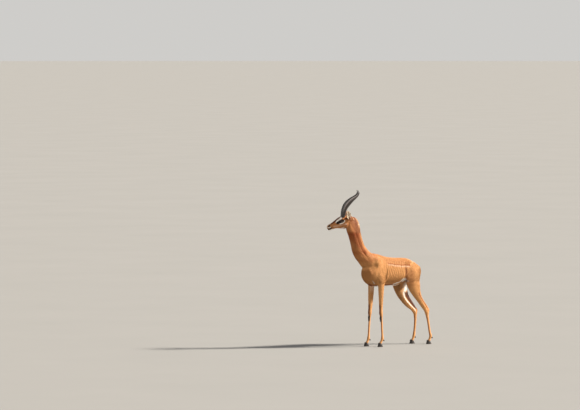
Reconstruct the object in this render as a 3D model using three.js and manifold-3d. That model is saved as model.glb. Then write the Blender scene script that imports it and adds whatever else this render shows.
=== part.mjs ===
// A life-size male gerenuk, a long-necked antelope, standing still with its head turned to its right.
// Millimetres. +X is the way the body faces, +Y is its left, +Z is up. The floor is at z = 0.
import * as THREE from "three";
import { mergeVertices } from "three/addons/utils/BufferGeometryUtils.js";
import Module from "manifold-3d";

const wasm = await Module();
wasm.setup();

// Driving dimensions
const WITHERS = 1000; // height of the top of the shoulders, before the coat is laid on
const SCALE = WITHERS / 1000; // the tables below are drawn for withers at 1000
const GAP = 0.3; // what touching pieces keep between them
const BEYOND = 300; // further to the side than any part of the body
const LEFT = 1;
const RIGHT = -1;
const SIDES = [
  ["left", LEFT],
  ["right", RIGHT],
];

// The head's place, between the eyes, and how it is turned and tipped
const HEAD_AT = [382, -56, 1354];
const HEAD_TURN = THREE.MathUtils.degToRad(-22);
const HEAD_TIP = THREE.MathUtils.degToRad(24.5);

const EYE = { radius: 19, forward: 7, across: 35, up: 10, turnOut: 74, turnUp: 6 };
const LID = { thick: 2.4, length: 34, height: 23, tilt: 8 };
const HORN_BASE = { forward: -28, up: 44 };
const EAR = {
  length: 142,
  forward: -67, // the root's place on the head
  across: 33,
  up: 7,
  long: [0.24, 0.67, 0.7], // which way the left ear runs
  open: [-0.45, 0.8, 0.05], // which way its cup faces
  arch: 7, // how far its middle bows back
  flare: 10, // how far its tip bends forward
  thinEdge: 0.45, // share of the wall's thickness that is lost at the edges
};

const COLOURS = {
  flank: 0xb5783f,
  face: 0x9a5a38,
  horn: 0x37302b,
  hoof: 0x241f1c,
  eye: 0x100c0a,
  tuft: 0x1a1412,
};
const WET = 0.1; // roughness of the eyes
const DULL = 0.7; // roughness of all else

const UP = new THREE.Vector3(0, 0, 1);
const FORWARD = new THREE.Vector3(1, 0, 0);
const DOWN = new THREE.Vector3(0, 0, -1);

// Smooth values between rows: each field follows a cubic whose slopes come from the rows on both sides
function between(rows, spacing, steps) {
  const fields = Object.keys(rows[0]);
  const slope = (i, field) => {
    const a = Math.max(i - 1, 0);
    const b = Math.min(i + 1, rows.length - 1);
    return (rows[b][field] - rows[a][field]) / (spacing[b] - spacing[a]);
  };
  const made = [{ ...rows[0] }];
  for (let i = 0; i + 1 < rows.length; i++) {
    const span = spacing[i + 1] - spacing[i];
    for (let k = 1; k <= steps; k++) {
      const t = k / steps;
      const row = {};
      for (const field of fields) {
        const p = rows[i][field];
        const q = rows[i + 1][field];
        const m = slope(i, field) * span;
        const n = slope(i + 1, field) * span;
        row[field] =
          (2 * t ** 3 - 3 * t ** 2 + 1) * p +
          (t ** 3 - 2 * t ** 2 + t) * m +
          (3 * t ** 2 - 2 * t ** 3) * q +
          (t ** 3 - t ** 2) * n;
      }
      made.push(row);
    }
  }
  return made;
}

// Names the columns of a table of sections
const columns = (names, table) =>
  table.map((line) => Object.fromEntries(names.map((name, i) => [name, line[i]])));

// One closed body through rings of points. Each ring has a middle x, y, z, its reach to the front and the back
// of `face`, its reach to the side, and the power of its curve: 2 is an ellipse, more is boxier, less is sharper.
function loft(rows, { face, along = null, sides = 24, steps = 2, grow = 0 }) {
  const spacing = [0];
  for (let i = 1; i < rows.length; i++) {
    const step = Math.hypot(
      rows[i].x - rows[i - 1].x,
      rows[i].y - rows[i - 1].y,
      rows[i].z - rows[i - 1].z,
    );
    spacing.push(spacing[i - 1] + Math.max(step, 1));
  }
  const rings = between(rows, spacing, steps);
  const middles = rings.map((r) => new THREE.Vector3(r.x, r.y, r.z));
  const points = [];
  rings.forEach((ring, i) => {
    const way = along
      ? along.clone()
      : middles[Math.min(i + 1, rings.length - 1)].clone().sub(middles[Math.max(i - 1, 0)]).normalize();
    const front = face.clone().addScaledVector(way, -face.dot(way)).normalize();
    const across = way.clone().cross(front);
    for (let k = 0; k < sides; k++) {
      const angle = (2 * Math.PI * k) / sides;
      const c = Math.cos(angle);
      const s = Math.sin(angle);
      const power = 2 / (c >= 0 ? ring.power : (ring.backPower ?? ring.power));
      const u = Math.sign(c) * Math.abs(c) ** power;
      let v = Math.sign(s) * Math.abs(s) ** power;
      if (ring.waist) v *= 1 - ring.waist * Math.exp(-(((u + 0.42) / 0.27) ** 2));
      const reach = Math.max((c >= 0 ? ring.front : ring.back) + grow, 0.5);
      const side = Math.max(ring.side + grow, 0.5);
      points.push(middles[i].clone().addScaledVector(front, u * reach).addScaledVector(across, v * side));
    }
  });
  const index = [];
  const count = rings.length;
  for (let i = 0; i + 1 < count; i++)
    for (let k = 0; k < sides; k++) {
      const a = i * sides + k;
      const b = i * sides + ((k + 1) % sides);
      index.push(a, b, b + sides, a, b + sides, a + sides);
    }
  const start = points.push(middles[0].clone()) - 1;
  const end = points.push(middles[count - 1].clone()) - 1;
  for (let k = 0; k < sides; k++) {
    const next = (k + 1) % sides;
    index.push(start, next, k);
    index.push(end, (count - 1) * sides + k, (count - 1) * sides + next);
  }
  return solid(new THREE.BufferGeometry().setFromPoints(points).setIndex(index));
}

function solid(geometry) {
  const bare = geometry.clone();
  for (const name of ["normal", "uv"]) bare.deleteAttribute(name);
  const merged = mergeVertices(bare, 1e-4);
  return new wasm.Manifold(
    new wasm.Mesh({
      numProp: 3,
      vertProperties: merged.attributes.position.array,
      triVerts: new Uint32Array(merged.index.array),
    }),
  );
}

function geometryOf(body) {
  const mesh = body.getMesh();
  const points = new Float32Array(mesh.numVert * 3);
  for (let i = 0; i < mesh.numVert; i++)
    points.set(mesh.vertProperties.subarray(i * mesh.numProp, i * mesh.numProp + 3), i * 3);
  const made = new THREE.BufferGeometry()
    .setAttribute("position", new THREE.BufferAttribute(points, 3))
    .setIndex(new THREE.BufferAttribute(mesh.triVerts, 1))
    .toNonIndexed();
  made.computeVertexNormals();
  return made;
}

const joined = (bodies) => bodies.reduce((all, body) => all.add(body));
const largest = (body) => body.decompose().reduce((a, b) => (b.volume() > a.volume() ? b : a));

function egg([x, y, z], [a, b, c], turn = new THREE.Euler(), detail = 12) {
  const shape = new THREE.SphereGeometry(1, detail, Math.round(detail * 0.6));
  shape.scale(a, b, c);
  shape.applyMatrix4(new THREE.Matrix4().makeRotationFromEuler(turn));
  shape.translate(x, y, z);
  return solid(shape);
}

// A flat outline in the x-z plane, made thick from y0 to y1, and moved outwards by `grow`
function plate(outline, y0, y1, grow = 0) {
  const corners = outline.map(([x, z]) => new THREE.Vector2(x, z));
  const turned = THREE.ShapeUtils.isClockWise(corners) ? corners.reverse() : corners;
  const moved = turned.map((p, i) => {
    const before = turned[(i + turned.length - 1) % turned.length];
    const after = turned[(i + 1) % turned.length];
    const e = p.clone().sub(before).normalize();
    const f = after.clone().sub(p).normalize();
    const n = new THREE.Vector2(e.y + f.y, -e.x - f.x).normalize();
    const widen = 1 / Math.max(n.dot(new THREE.Vector2(e.y, -e.x)), 0.4);
    return p.clone().addScaledVector(n, grow * widen);
  });
  const depth = y1 - y0 + 2 * grow;
  const shape = new THREE.ExtrudeGeometry(new THREE.Shape(moved), { depth, bevelEnabled: false });
  shape.rotateX(Math.PI / 2);
  shape.translate(0, y1 + grow, 0);
  return solid(shape);
}

// Trunk: distance forward, top and bottom of the section, height of its widest level, half width, powers
const TRUNK = [
  [156, 816, 762, 782, 20, 2, 2],
  [148, 860, 736, 788, 44, 2, 2],
  [126, 901, 702, 792, 66, 2, 2],
  [90, 930, 673, 790, 83, 1.9, 2.1],
  [50, 968, 653, 795, 95, 1.8, 2.1],
  [0, 1000, 646, 800, 102, 1.7, 2.1],
  [-60, 987, 645, 800, 107, 1.8, 2.1],
  [-120, 968, 647, 800, 109, 1.9, 2.1],
  [-200, 954, 648, 802, 111, 2, 2.1],
  [-280, 948, 651, 804, 108, 2, 2.1],
  [-340, 946, 677, 810, 101, 2.1, 2],
  [-400, 938, 710, 826, 100, 2, 2],
  [-450, 920, 716, 828, 99, 1.9, 2],
  [-500, 884, 716, 820, 91, 1.9, 2],
  [-540, 846, 722, 798, 73, 2, 2],
  [-558, 812, 738, 780, 50, 2, 2],
  [-566, 794, 755, 774, 22, 2, 2],
];

const sectionsAlongX = (table) =>
  table.map(([x, top, bottom, level, side, power, backPower]) => ({
    x,
    y: 0,
    z: level,
    front: top - level,
    back: level - bottom,
    side,
    power,
    backPower,
  }));

// Neck: its middle line from deep in the chest to the back of the head, throat and nape reach, half width
const NECK = columns(
  ["x", "y", "z", "front", "back", "side", "power"],
  [
    [-4, 0, 852, 118, 98, 74, 2],
    [48, 0, 912, 118, 104, 82, 2],
    [98, 0, 950, 110, 77, 74, 2],
    [140, 0, 984, 98, 74, 64, 2],
    [178, 0, 1022, 94, 76, 58, 2],
    [203, -1, 1060, 89, 73, 55, 2],
    [229, -3, 1131, 80, 69, 51, 2],
    [256, -8, 1215, 76, 75, 50, 2],
    [280, -15, 1288, 76, 95, 50, 2],
    [298, -25, 1344, 62, 93, 48, 2],
    [312, -32, 1382, 38, 66, 36, 2],
    [318, -35, 1400, 14, 34, 16, 2],
  ],
);

// Legs: height, reach to the front and back of the leg's own line, distance of that line from the middle of
// the body, half thickness, power, and the hollow in front of the hock's tendon
const LEG_COLUMNS = ["z", "front", "back", "y", "side", "power", "waist"];
const FORELEG = columns(LEG_COLUMNS, [
  [850, 40, 40, 66, 22, 2, 0],
  [820, 60, 60, 70, 30, 2, 0],
  [780, 58, 64, 74, 33, 2, 0],
  [730, 47, 62, 76, 33, 2, 0],
  [696, 40, 58, 76, 31, 2, 0],
  [665, 36, 43, 76, 29, 2, 0],
  [615, 33, 35, 75, 26, 2, 0],
  [535, 28.5, 28, 74, 22.5, 2, 0],
  [450, 23, 22.5, 72, 19, 2, 0],
  [395, 20, 19.5, 71, 18, 2.2, 0],
  [372, 21, 19.5, 71, 19, 2.4, 0],
  [350, 19.5, 19.5, 71, 18, 2.4, 0],
  [328, 14.5, 17, 71, 15, 2.2, 0],
  [298, 12, 13.5, 71, 12, 2.1, 0],
  [200, 11.5, 12.5, 70, 11, 2.1, 0],
  [120, 12, 13, 69, 11.5, 2.1, 0],
  [94, 14.5, 17, 69, 14.5, 2.1, 0],
  [78, 15, 18, 69, 15.5, 2.1, 0],
  [58, 13.5, 13.5, 69, 15, 2.1, 0],
  [44, 15, 14, 69, 18, 2.2, 0],
  [30, 20, 15, 69, 20, 2.3, 0],
]);
const HINDLEG = columns(LEG_COLUMNS, [
  [898, 36, 30, 46, 20, 2, 0],
  [876, 66, 56, 50, 30, 2, 0],
  [842, 98, 88, 58, 38, 2, 0],
  [800, 114, 103, 66, 42, 2, 0],
  [740, 110, 97, 70, 42, 2, 0],
  [691, 92, 87, 74, 40, 2, 0],
  [643, 79, 84, 77, 36, 2, 0],
  [596, 66, 70, 77, 31, 2, 0],
  [523, 53, 47, 74, 26, 2, 0.05],
  [465, 45, 38, 70, 22, 2, 0.25],
  [425, 41, 38, 67, 20, 2, 0.36],
  [395, 37, 40, 65, 18.5, 2.1, 0.3],
  [372, 32, 39, 65, 18.5, 2.2, 0.14],
  [345, 25, 28, 65, 18.5, 2.2, 0],
  [312, 18, 19, 66, 15, 2.1, 0],
  [240, 14, 15, 68, 12.5, 2.1, 0],
  [130, 13, 14, 71, 12, 2.1, 0],
  [98, 14.5, 17, 72, 14, 2.1, 0],
  [80, 15, 18, 72, 15.5, 2.1, 0],
  [58, 13.5, 13.5, 72, 15, 2.1, 0],
  [44, 15, 14, 72, 18, 2.2, 0],
  [30, 20, 15, 72, 20, 2.3, 0],
]);

// Where each leg's own line runs: height, distance forward. One foot of each pair is set further back.
const LEG_LINES = {
  fore_left: [
    [850, -2], [780, -12], [700, -25], [620, -29], [535, -30], [360, -32], [300, -38], [200, -45],
    [86, -50], [58, -38], [30, -22],
  ],
  fore_right: [
    [850, 4], [780, 2], [700, -2], [620, 1], [535, 7], [360, 18], [200, 29], [86, 38], [58, 47], [30, 63],
  ],
  hind_left: [
    [915, -448], [850, -448], [800, -448], [740, -442], [691, -442], [643, -447], [596, -460], [523, -508],
    [465, -557], [425, -590], [395, -611], [372, -624], [345, -631], [312, -636], [240, -650], [130, -667],
    [88, -677], [58, -668], [30, -652],
  ],
  hind_right: [
    [915, -446], [850, -436], [800, -420], [740, -390], [691, -371], [643, -366], [596, -377], [523, -411],
    [465, -454], [425, -494], [395, -526], [372, -551], [345, -564], [312, -569], [240, -571], [130, -562],
    [88, -556], [58, -547], [30, -531],
  ],
};
// Some legs look stouter than their pair's table: height, and what is added to the reach forward and back
const STOUT = {
  fore_right: [[660, 0, 0], [600, 0, 5], [535, 0, 7], [450, 0, 6], [395, 0, 2], [360, 0, 0], [20, 0, 0]],
  hind_right: [
    [720, 0, 0], [643, 4, 11], [596, 10, 21], [523, 16, 32], [465, 20, 36], [425, 25, 24], [395, 24, 10],
    [360, 12, 4], [330, 3, 1], [300, 0, 0], [20, 0, 0],
  ],
  hind_left: [
    [680, 0, 0], [605, 0, 7], [560, 0, 3], [465, 4, 2], [425, 7, 2], [395, 5, 1], [360, 0, 0], [20, 0, 0],
  ],
};
const SOLE_LEVEL = 30; // the legs' tables end here, inside the hooves' place

// The value in one column of a table whose first column is a falling height
function along(line, z, column = 1) {
  const turned = [...line].reverse();
  const at = turned.findIndex(([height]) => height >= z);
  const i = Math.min(Math.max(at, 1), turned.length - 1);
  const slope = (k) => {
    const a = Math.max(k - 1, 0);
    const b = Math.min(k + 1, turned.length - 1);
    return (turned[b][column] - turned[a][column]) / (turned[b][0] - turned[a][0]);
  };
  const span = turned[i][0] - turned[i - 1][0];
  const t = (z - turned[i - 1][0]) / span;
  const m = slope(i - 1) * span;
  const n = slope(i) * span;
  return (
    (2 * t ** 3 - 3 * t ** 2 + 1) * turned[i - 1][column] +
    (t ** 3 - 2 * t ** 2 + t) * m +
    (3 * t ** 2 - 2 * t ** 3) * turned[i][column] +
    (t ** 3 - t ** 2) * n
  );
}

function legSolid(table, name, side) {
  const more = STOUT[name] ?? [];
  const added = (z, column) => (more.length && z < more[0][0] ? along(more, z, column) : 0);
  const rows = table.map((row) => ({
    ...row,
    x: along(LEG_LINES[name], row.z),
    y: row.y * side,
    front: row.front + added(row.z, 1),
    back: row.back + added(row.z, 2),
  }));
  return loft(rows, { face: FORWARD, along: DOWN, sides: 14, steps: 1 });
}

// Muscles and bones that stand out under the skin: middle, half sizes, and how far each is tipped
const BULGES = [
  { at: [0, 62, 880], size: [56, 36, 98], tip: 0.42 }, // shoulder blade
  { at: [88, 56, 792], size: [44, 34, 56], tip: 0.2 }, // point of the shoulder
  { at: [-42, 74, 776], size: [62, 33, 68], tip: -0.3 }, // triceps
  { at: [-372, 68, 894], size: [52, 24, 24], tip: 0.2 }, // hip bone
  { at: [-530, 44, 818], size: [30, 27, 40], tip: 0 }, // seat bone
];

function bulgeSolids() {
  const made = [];
  for (const [, side] of SIDES)
    for (const { at, size, tip } of BULGES)
      made.push(egg([at[0], at[1] * side, at[2]], size, new THREE.Euler(0, tip, 0), 12));
  return made;
}

// Head, in its own frame: x forward from between the eyes, y to its left, z up across the brow
const HEAD = [
  [178, 14, -7, 3, 7, 2, 2],
  [175, 23, -15, 3, 13, 2, 2],
  [166, 31, -24, 1, 18.5, 2.2, 2.1],
  [150, 36, -28, -2, 21, 2.3, 2.1],
  [128, 38, -29, -2, 21.5, 2.2, 2],
  [104, 42, -33, 0, 25, 2.1, 2],
  [76, 49, -43, 4, 31, 2, 1.9],
  [48, 56, -58, 8, 38, 2, 1.8],
  [20, 61, -73, 10, 43, 2.1, 1.8],
  [-8, 61, -83, 11, 45, 2.2, 1.8],
  [-38, 57, -88, 8, 46, 2.3, 1.9],
  [-68, 50, -86, 2, 46, 2.2, 2],
  [-95, 35, -76, -10, 42, 2, 2],
  [-114, 13, -62, -22, 34, 2, 2],
  [-124, -8, -48, -28, 19, 2, 2],
];

const headPlace = new THREE.Matrix4()
  .makeRotationZ(HEAD_TURN)
  .multiply(new THREE.Matrix4().makeRotationY(HEAD_TIP))
  .setPosition(...HEAD_AT);
const placed = (body, place) => body.transform(place.elements);

// The line between the lips, as an open outline in the head's side view
const MOUTH = [
  [186, -10],
  [162, -12.5],
  [138, -12],
  [114, -7],
];
const LIPS = { band: 11, raised: 1.3, groove: 1.8, deep: 2.6 };

function mouthOutline(thick) {
  const upper = MOUTH.map(([x, z]) => [x, z + thick / 2]);
  const lower = MOUTH.map(([x, z]) => [x, z - thick / 2]);
  return [...upper, ...lower.reverse()];
}

// An almond for the opening of the lids: long axis level, pointed at both corners
function almond(length, height, grow = 0) {
  const outline = new THREE.Shape();
  const half = length / 2 + grow;
  const rise = height / 2 + grow;
  outline.moveTo(-half, 0);
  outline.bezierCurveTo(-half * 0.45, rise * 1.35, half * 0.4, rise * 1.3, half, 0);
  outline.bezierCurveTo(half * 0.4, -rise * 1.25, -half * 0.5, -rise * 1.3, -half, 0);
  return outline;
}

function eyeFrame(side) {
  const turn = new THREE.Matrix4().makeRotationZ(THREE.MathUtils.degToRad(EYE.turnOut) * side);
  const lift = new THREE.Matrix4().makeRotationY(THREE.MathUtils.degToRad(-EYE.turnUp));
  return new THREE.Matrix4()
    .makeTranslation(EYE.forward, EYE.across * side, EYE.up)
    .multiply(turn)
    .multiply(lift);
}

function eyeball(grow = 0) {
  const ball = new THREE.SphereGeometry(EYE.radius + grow, 14, 8);
  const cornea = new THREE.SphereGeometry(EYE.radius * 0.72 + grow, 12, 6);
  cornea.translate(EYE.radius * 0.34, 0, 0);
  return solid(ball).add(solid(cornea));
}

function lidBall() {
  return solid(new THREE.SphereGeometry(EYE.radius + LID.thick, 16, 10));
}

// Cuts the almond outwards from the middle of the eye, whose own x axis points out of the head
function lidOpening(side) {
  const shape = new THREE.ExtrudeGeometry(almond(LID.length, LID.height), {
    depth: EYE.radius * 2,
    bevelEnabled: false,
    curveSegments: 5,
  });
  shape.applyMatrix4(
    new THREE.Matrix4().makeBasis(
      new THREE.Vector3(0, side, 0),
      new THREE.Vector3(0, 0, side),
      new THREE.Vector3(1, 0, 0),
    ),
  );
  shape.rotateX(THREE.MathUtils.degToRad(LID.tilt) * -side);
  return solid(shape);
}

function headSolid() {
  const skull = (grow) =>
    loft(sectionsAlongX(HEAD), { face: UP, along: FORWARD.clone().negate(), sides: 22, steps: 1, grow });
  let head = skull(0);
  const lips = skull(LIPS.raised).intersect(plate(mouthOutline(LIPS.band), -BEYOND, BEYOND));
  head = head.add(lips);
  for (const [, side] of SIDES) {
    const euler = (x, y, z) => new THREE.Euler(x * side, y, z * side);
    head = head
      .add(egg([8, 33 * side, 29], [38, 14, 13], euler(0, 0.12, -0.12), 12)) // brow
      .add(egg([2, 33 * side, -10], [36, 13, 12], euler(0, 0.2, 0.1), 12)) // cheek bone
      .add(egg([-28, 33 * side, -48], [38, 15, 34], euler(0, -0.3, 0), 12)) // jaw muscle
      .add(egg([148, 12.5 * side, 23], [17, 9, 10], euler(0, 0.1, 0), 10)); // wing of the nostril
  }
  for (const [, side] of SIDES) {
    const frame = eyeFrame(side);
    const nostril = egg([157, 19.5 * side, 18], [10, 6, 3.6], new THREE.Euler(0, -0.55, -0.35 * side), 10);
    const gland = egg([42, 41 * side, 4], [11, 5, 3.2], new THREE.Euler(0, 0.1, -0.3 * side), 10);
    head = head
      .add(placed(lidBall(), frame))
      .subtract(placed(eyeball(GAP), frame))
      .subtract(placed(lidOpening(side), frame))
      .subtract(nostril)
      .subtract(gland);
  }
  const groove = plate(mouthOutline(LIPS.groove), -BEYOND, BEYOND).subtract(skull(-LIPS.deep));
  return head.subtract(groove);
}

// Horns: their middle line in a level frame on the head, and their half sizes
const HORN = columns(
  ["x", "y", "z", "front", "back", "side", "power"],
  [
    [5, 21, -26, 20, 20, 16, 2],
    [0, 22, 0, 23, 19, 18, 2],
    [-5, 27, 42, 24, 18, 18.5, 2],
    [-13, 34, 83, 23, 23, 18.5, 2],
    [-28, 41, 124, 20, 31, 18, 2],
    [-54, 47, 158, 17.5, 30, 17, 2],
    [-85, 50, 185, 15, 25, 15, 2],
    [-117, 49, 206, 12.5, 17.5, 12, 2],
    [-148, 45, 229, 10, 11, 9, 2],
    [-163, 40, 253, 7.4, 7.4, 6.6, 2],
    [-163, 36, 272, 4.6, 4.6, 4.4, 2],
    [-156, 34, 286, 1.6, 1.6, 1.6, 2],
  ],
);
const RINGS = {
  count: 17,
  share: 0.66, // of the horn's length
  crest: 1.7,
  hollow: 0.9,
  fade: 0.55, // how much lower the last rings are
  front: 1.2, // how strong they are on the front and on the back
  back: 0.5,
};
const HORN_END = 7; // sections on the smooth end

function hornSolid(side, grow = 0) {
  const rows = HORN.map((row) => ({ ...row, y: row.y * side }));
  const distance = rows.map(() => 0);
  for (let i = 1; i < rows.length; i++)
    distance[i] =
      distance[i - 1] +
      Math.hypot(rows[i].x - rows[i - 1].x, rows[i].y - rows[i - 1].y, rows[i].z - rows[i - 1].z);
  const fine = between(rows, distance, 40);
  const total = fine.length - 1;
  const ends = RINGS.count * 2;
  const picked = [];
  for (let i = 0; i <= ends; i++) {
    const share = (i / ends) * RINGS.share;
    const row = fine[Math.round(share * total)];
    const ringed = i > 2 && i < ends;
    const raise = ringed ? (i % 2 ? RINGS.crest : -RINGS.hollow) * (1 - RINGS.fade * share) : 0;
    picked.push({
      ...row,
      front: row.front + raise * RINGS.front,
      back: row.back + raise * RINGS.back,
      side: row.side + raise,
    });
  }
  for (let i = 1; i <= HORN_END; i++) {
    const share = RINGS.share + ((1 - RINGS.share) * i) / HORN_END;
    picked.push(fine[Math.round(share * total)]);
  }
  return loft(picked, { face: FORWARD, sides: 10, steps: 1, grow });
}

const hornPlace = new THREE.Matrix4().makeRotationZ(HEAD_TURN).setPosition(
  new THREE.Vector3(HORN_BASE.forward, 0, HORN_BASE.up).applyMatrix4(headPlace),
);

// Ears: a leaf rolled into a cup. Along the ear: share of its length, half width round the roll, half angle of
// the roll in degrees, and the thickness of the wall
const EAR_ROLL = columns(
  ["share", "half", "roll", "wall"],
  [
    [-0.08, 27, 165, 5],
    [0.02, 30, 155, 5],
    [0.14, 38, 112, 4.6],
    [0.3, 43, 84, 4.2],
    [0.48, 41, 68, 3.8],
    [0.66, 28, 56, 3.4],
    [0.82, 16, 50, 3],
    [0.93, 8, 46, 2.6],
    [1.0, 3.5, 40, 2.2],
  ],
);

function earSolid(side) {
  const rings = between(EAR_ROLL, EAR_ROLL.map((row) => row.share), 1);
  const turns = 5;
  const outer = [];
  const inner = [];
  for (const { share, half, roll, wall } of rings) {
    const angle = THREE.MathUtils.degToRad(roll);
    const radius = half / angle;
    const bow = Math.sin(Math.PI * THREE.MathUtils.clamp(share, 0, 1));
    const back = EAR.flare * share ** 2 - EAR.arch * bow;
    for (let k = -turns; k <= turns; k++) {
      const a = (angle * k) / turns;
      const thin = wall * (1 - EAR.thinEdge * (k / turns) ** 2);
      const z = share * EAR.length;
      const place = (r) => new THREE.Vector3(back + radius - r * Math.cos(a), r * Math.sin(a) * side, z);
      outer.push(place(radius + thin / 2));
      inner.push(place(Math.max(radius - thin / 2, 0.8)));
    }
  }
  const across = 2 * turns + 1;
  const count = rings.length;
  const index = [];
  const quad = (a, b, c, d) => index.push(a, b, c, a, c, d);
  const o = (i, k) => i * across + k;
  const n = (i, k) => outer.length + i * across + k;
  for (let i = 0; i + 1 < count; i++) {
    for (let k = 0; k + 1 < across; k++) {
      quad(o(i, k), o(i + 1, k), o(i + 1, k + 1), o(i, k + 1));
      quad(n(i, k), n(i, k + 1), n(i + 1, k + 1), n(i + 1, k));
    }
    quad(o(i, 0), n(i, 0), n(i + 1, 0), o(i + 1, 0));
    quad(o(i, across - 1), o(i + 1, across - 1), n(i + 1, across - 1), n(i, across - 1));
  }
  for (let k = 0; k + 1 < across; k++) {
    quad(o(0, k), o(0, k + 1), n(0, k + 1), n(0, k));
    quad(o(count - 1, k), n(count - 1, k), n(count - 1, k + 1), o(count - 1, k + 1));
  }
  const turned = [];
  for (let i = 0; i < index.length; i += 3)
    turned.push(index[i], index[i + (side > 0 ? 1 : 2)], index[i + (side > 0 ? 2 : 1)]);
  const made = solid(new THREE.BufferGeometry().setFromPoints([...outer, ...inner]).setIndex(turned));
  return placed(made, earPlace(side));
}

function earPlace(side) {
  const mirror = new THREE.Vector3(1, side, 1);
  const long = new THREE.Vector3(...EAR.long).multiply(mirror).normalize();
  const open = new THREE.Vector3(...EAR.open).multiply(mirror);
  open.addScaledVector(long, -open.dot(long)).normalize();
  const across = long.clone().cross(open);
  const root = new THREE.Vector3(EAR.forward, EAR.across * side, EAR.up).applyMatrix4(headPlace);
  const basis = new THREE.Matrix4().makeBasis(open, across, long);
  return new THREE.Matrix4().makeRotationZ(HEAD_TURN).multiply(basis).setPosition(root);
}

// Tail: hangs close behind the rump, with a tuft of long black locks on its lower half
const TAIL = columns(
  ["x", "y", "z", "front", "back", "side", "power"],
  [
    [-528, 0, 858, 16, 16, 16, 2],
    [-550, -2, 848, 15, 15, 15, 2],
    [-568, -7, 824, 12, 12, 13, 2],
    [-575, -15, 788, 10, 10, 11, 2],
    [-574, -23, 744, 8.5, 8.5, 9, 2],
    [-571, -27, 700, 7, 7, 7.5, 2],
    [-567, -29, 655, 5, 5, 5.5, 2],
    [-564, -30, 625, 2.5, 2.5, 2.5, 2],
  ],
);

// A flat lock of hair: starts at `root`, runs along `way`, leans out along `out`, and ends in a point.
// LOCK is how wide it is at each share of its length
const LOCK = [[0, 0.75], [0.3, 1], [0.62, 0.8], [0.86, 0.45], [1, 0.08]];

function lock(root, way, out, { length, wide, thick, curl }) {
  const rows = LOCK.map(([share, width]) => {
    const p = root
      .clone()
      .addScaledVector(way, length * share)
      .addScaledVector(out, length * curl * share * (1 - 0.75 * share));
    const half = thick * width * 0.6 + 0.5;
    return { x: p.x, y: p.y, z: p.z, front: half, back: half, side: wide * width, power: 2 };
  });
  return loft(rows, { face: out, sides: 4, steps: 1 });
}

function seeded(seed) {
  let state = seed;
  return () => {
    state = (state * 1664525 + 1013904223) % 4294967296;
    return state / 4294967296;
  };
}

const TUFT = { tiers: 3, perTier: 3, top: 738, apart: 36, out: 3, lean: 0.1 };
const TUFT_LOCK = { length: 72, longer: 22, wide: 8, thick: 3, curl: 0.13 };

function tailSolid() {
  const random = seeded(7);
  const pieces = [loft(TAIL, { face: FORWARD, sides: 10, steps: 1 })];
  const bone = TAIL.map((row) => [row.z, row.x, row.y]);
  for (let tier = 0; tier < TUFT.tiers; tier++)
    for (let k = 0; k < TUFT.perTier; k++) {
      const angle = ((k + 0.5 * (tier % 2)) / TUFT.perTier) * 2 * Math.PI;
      const z = TUFT.top - tier * TUFT.apart - random() * 8;
      const out = new THREE.Vector3(-Math.cos(angle), Math.sin(angle), 0);
      const root = new THREE.Vector3(along(bone, z), along(bone, z, 2), z).addScaledVector(out, TUFT.out);
      const way = DOWN.clone().addScaledVector(out, TUFT.lean).normalize();
      const length = TUFT_LOCK.length + random() * TUFT_LOCK.longer;
      pieces.push(lock(root, way, out, { ...TUFT_LOCK, length }));
    }
  return joined(pieces);
}

// The dark brush below the knee, in locks that lie down the front and sides of the leg
const BRUSH = { tiers: [12, 8], perTier: 3, top: 334, apart: 17, round: 2.5, middle: 71, lean: 0.05 };
const BRUSH_LOCK = { length: 38, longer: 10, wide: 5, thick: 2.6, curl: 0.1 };

function kneeBrush(line, side) {
  const random = seeded(11);
  const pieces = [];
  BRUSH.tiers.forEach((reach, tier) => {
    for (let k = 0; k < BRUSH.perTier; k++) {
      const angle = ((k - (BRUSH.perTier - 1) / 2) / BRUSH.perTier) * BRUSH.round;
      const z = BRUSH.top - tier * BRUSH.apart - random() * 4;
      const out = new THREE.Vector3(Math.cos(angle), Math.sin(angle) * side, 0);
      const root = new THREE.Vector3(along(line, z), BRUSH.middle * side, z).addScaledVector(out, reach);
      const way = DOWN.clone().addScaledVector(out, BRUSH.lean).normalize();
      const length = BRUSH_LOCK.length + random() * BRUSH_LOCK.longer;
      pieces.push(lock(root, way, out, { ...BRUSH_LOCK, length }));
    }
  });
  return pieces;
}

// Hooves: height, reach forward to the toe, reach back to the heel, half width, power
const CLAW = [
  [0, 34, 23, 8.6, 1.7],
  [4, 34, 23, 9, 1.7],
  [14, 27, 21, 9.2, 1.8],
  [26, 19, 18, 9, 1.9],
  [42, 10, 14, 8.4, 2],
];
const CLAW_APART = 9.8; // from the middle of the foot to the middle of each claw
const CLAW_LEAN = 0.35; // how far the hoof leans forward as it rises
const CLAW_BACK = 8; // how far behind the leg's line the middle of the hoof stands
const CORONET = { front: 34, back: 21, length: 60, heel: 26 }; // the hoof's slanting upper edge
const DEWCLAW = { size: [7, 5.5, 9.5], height: 68, behind: 19, apart: 8.5, tip: 0.5 };
const DEWCLAW_LEVEL = 74; // the leg's line is read a little above the dewclaws

function clawSolid(x, y) {
  const rows = CLAW.map(([z, front, back, side, power]) => ({
    x: x + CLAW_LEAN * z,
    y,
    z,
    front,
    back,
    side,
    power,
    backPower: 2.2,
  }));
  return loft(rows.reverse(), { face: FORWARD, along: DOWN, sides: 10, steps: 1 });
}

// All that lies under the hoof's upper edge
function coronetBlock(x, y, grow) {
  const reach = 90;
  const floor = -50;
  const rise = (CORONET.front - CORONET.back) / CORONET.length;
  const top = (dx) => CORONET.back + (dx + CORONET.heel) * rise + grow;
  const outline = [
    [x - reach, top(-reach)],
    [x - reach, floor],
    [x + reach, floor],
    [x + reach, top(reach)],
  ];
  return plate(outline, y - reach / 2, y + reach / 2);
}

function dewclawSolid(x, y, grow) {
  const size = DEWCLAW.size.map((half) => half + grow);
  return egg([x, y, DEWCLAW.height], size, new THREE.Euler(0, DEWCLAW.tip, 0), 7);
}

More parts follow.
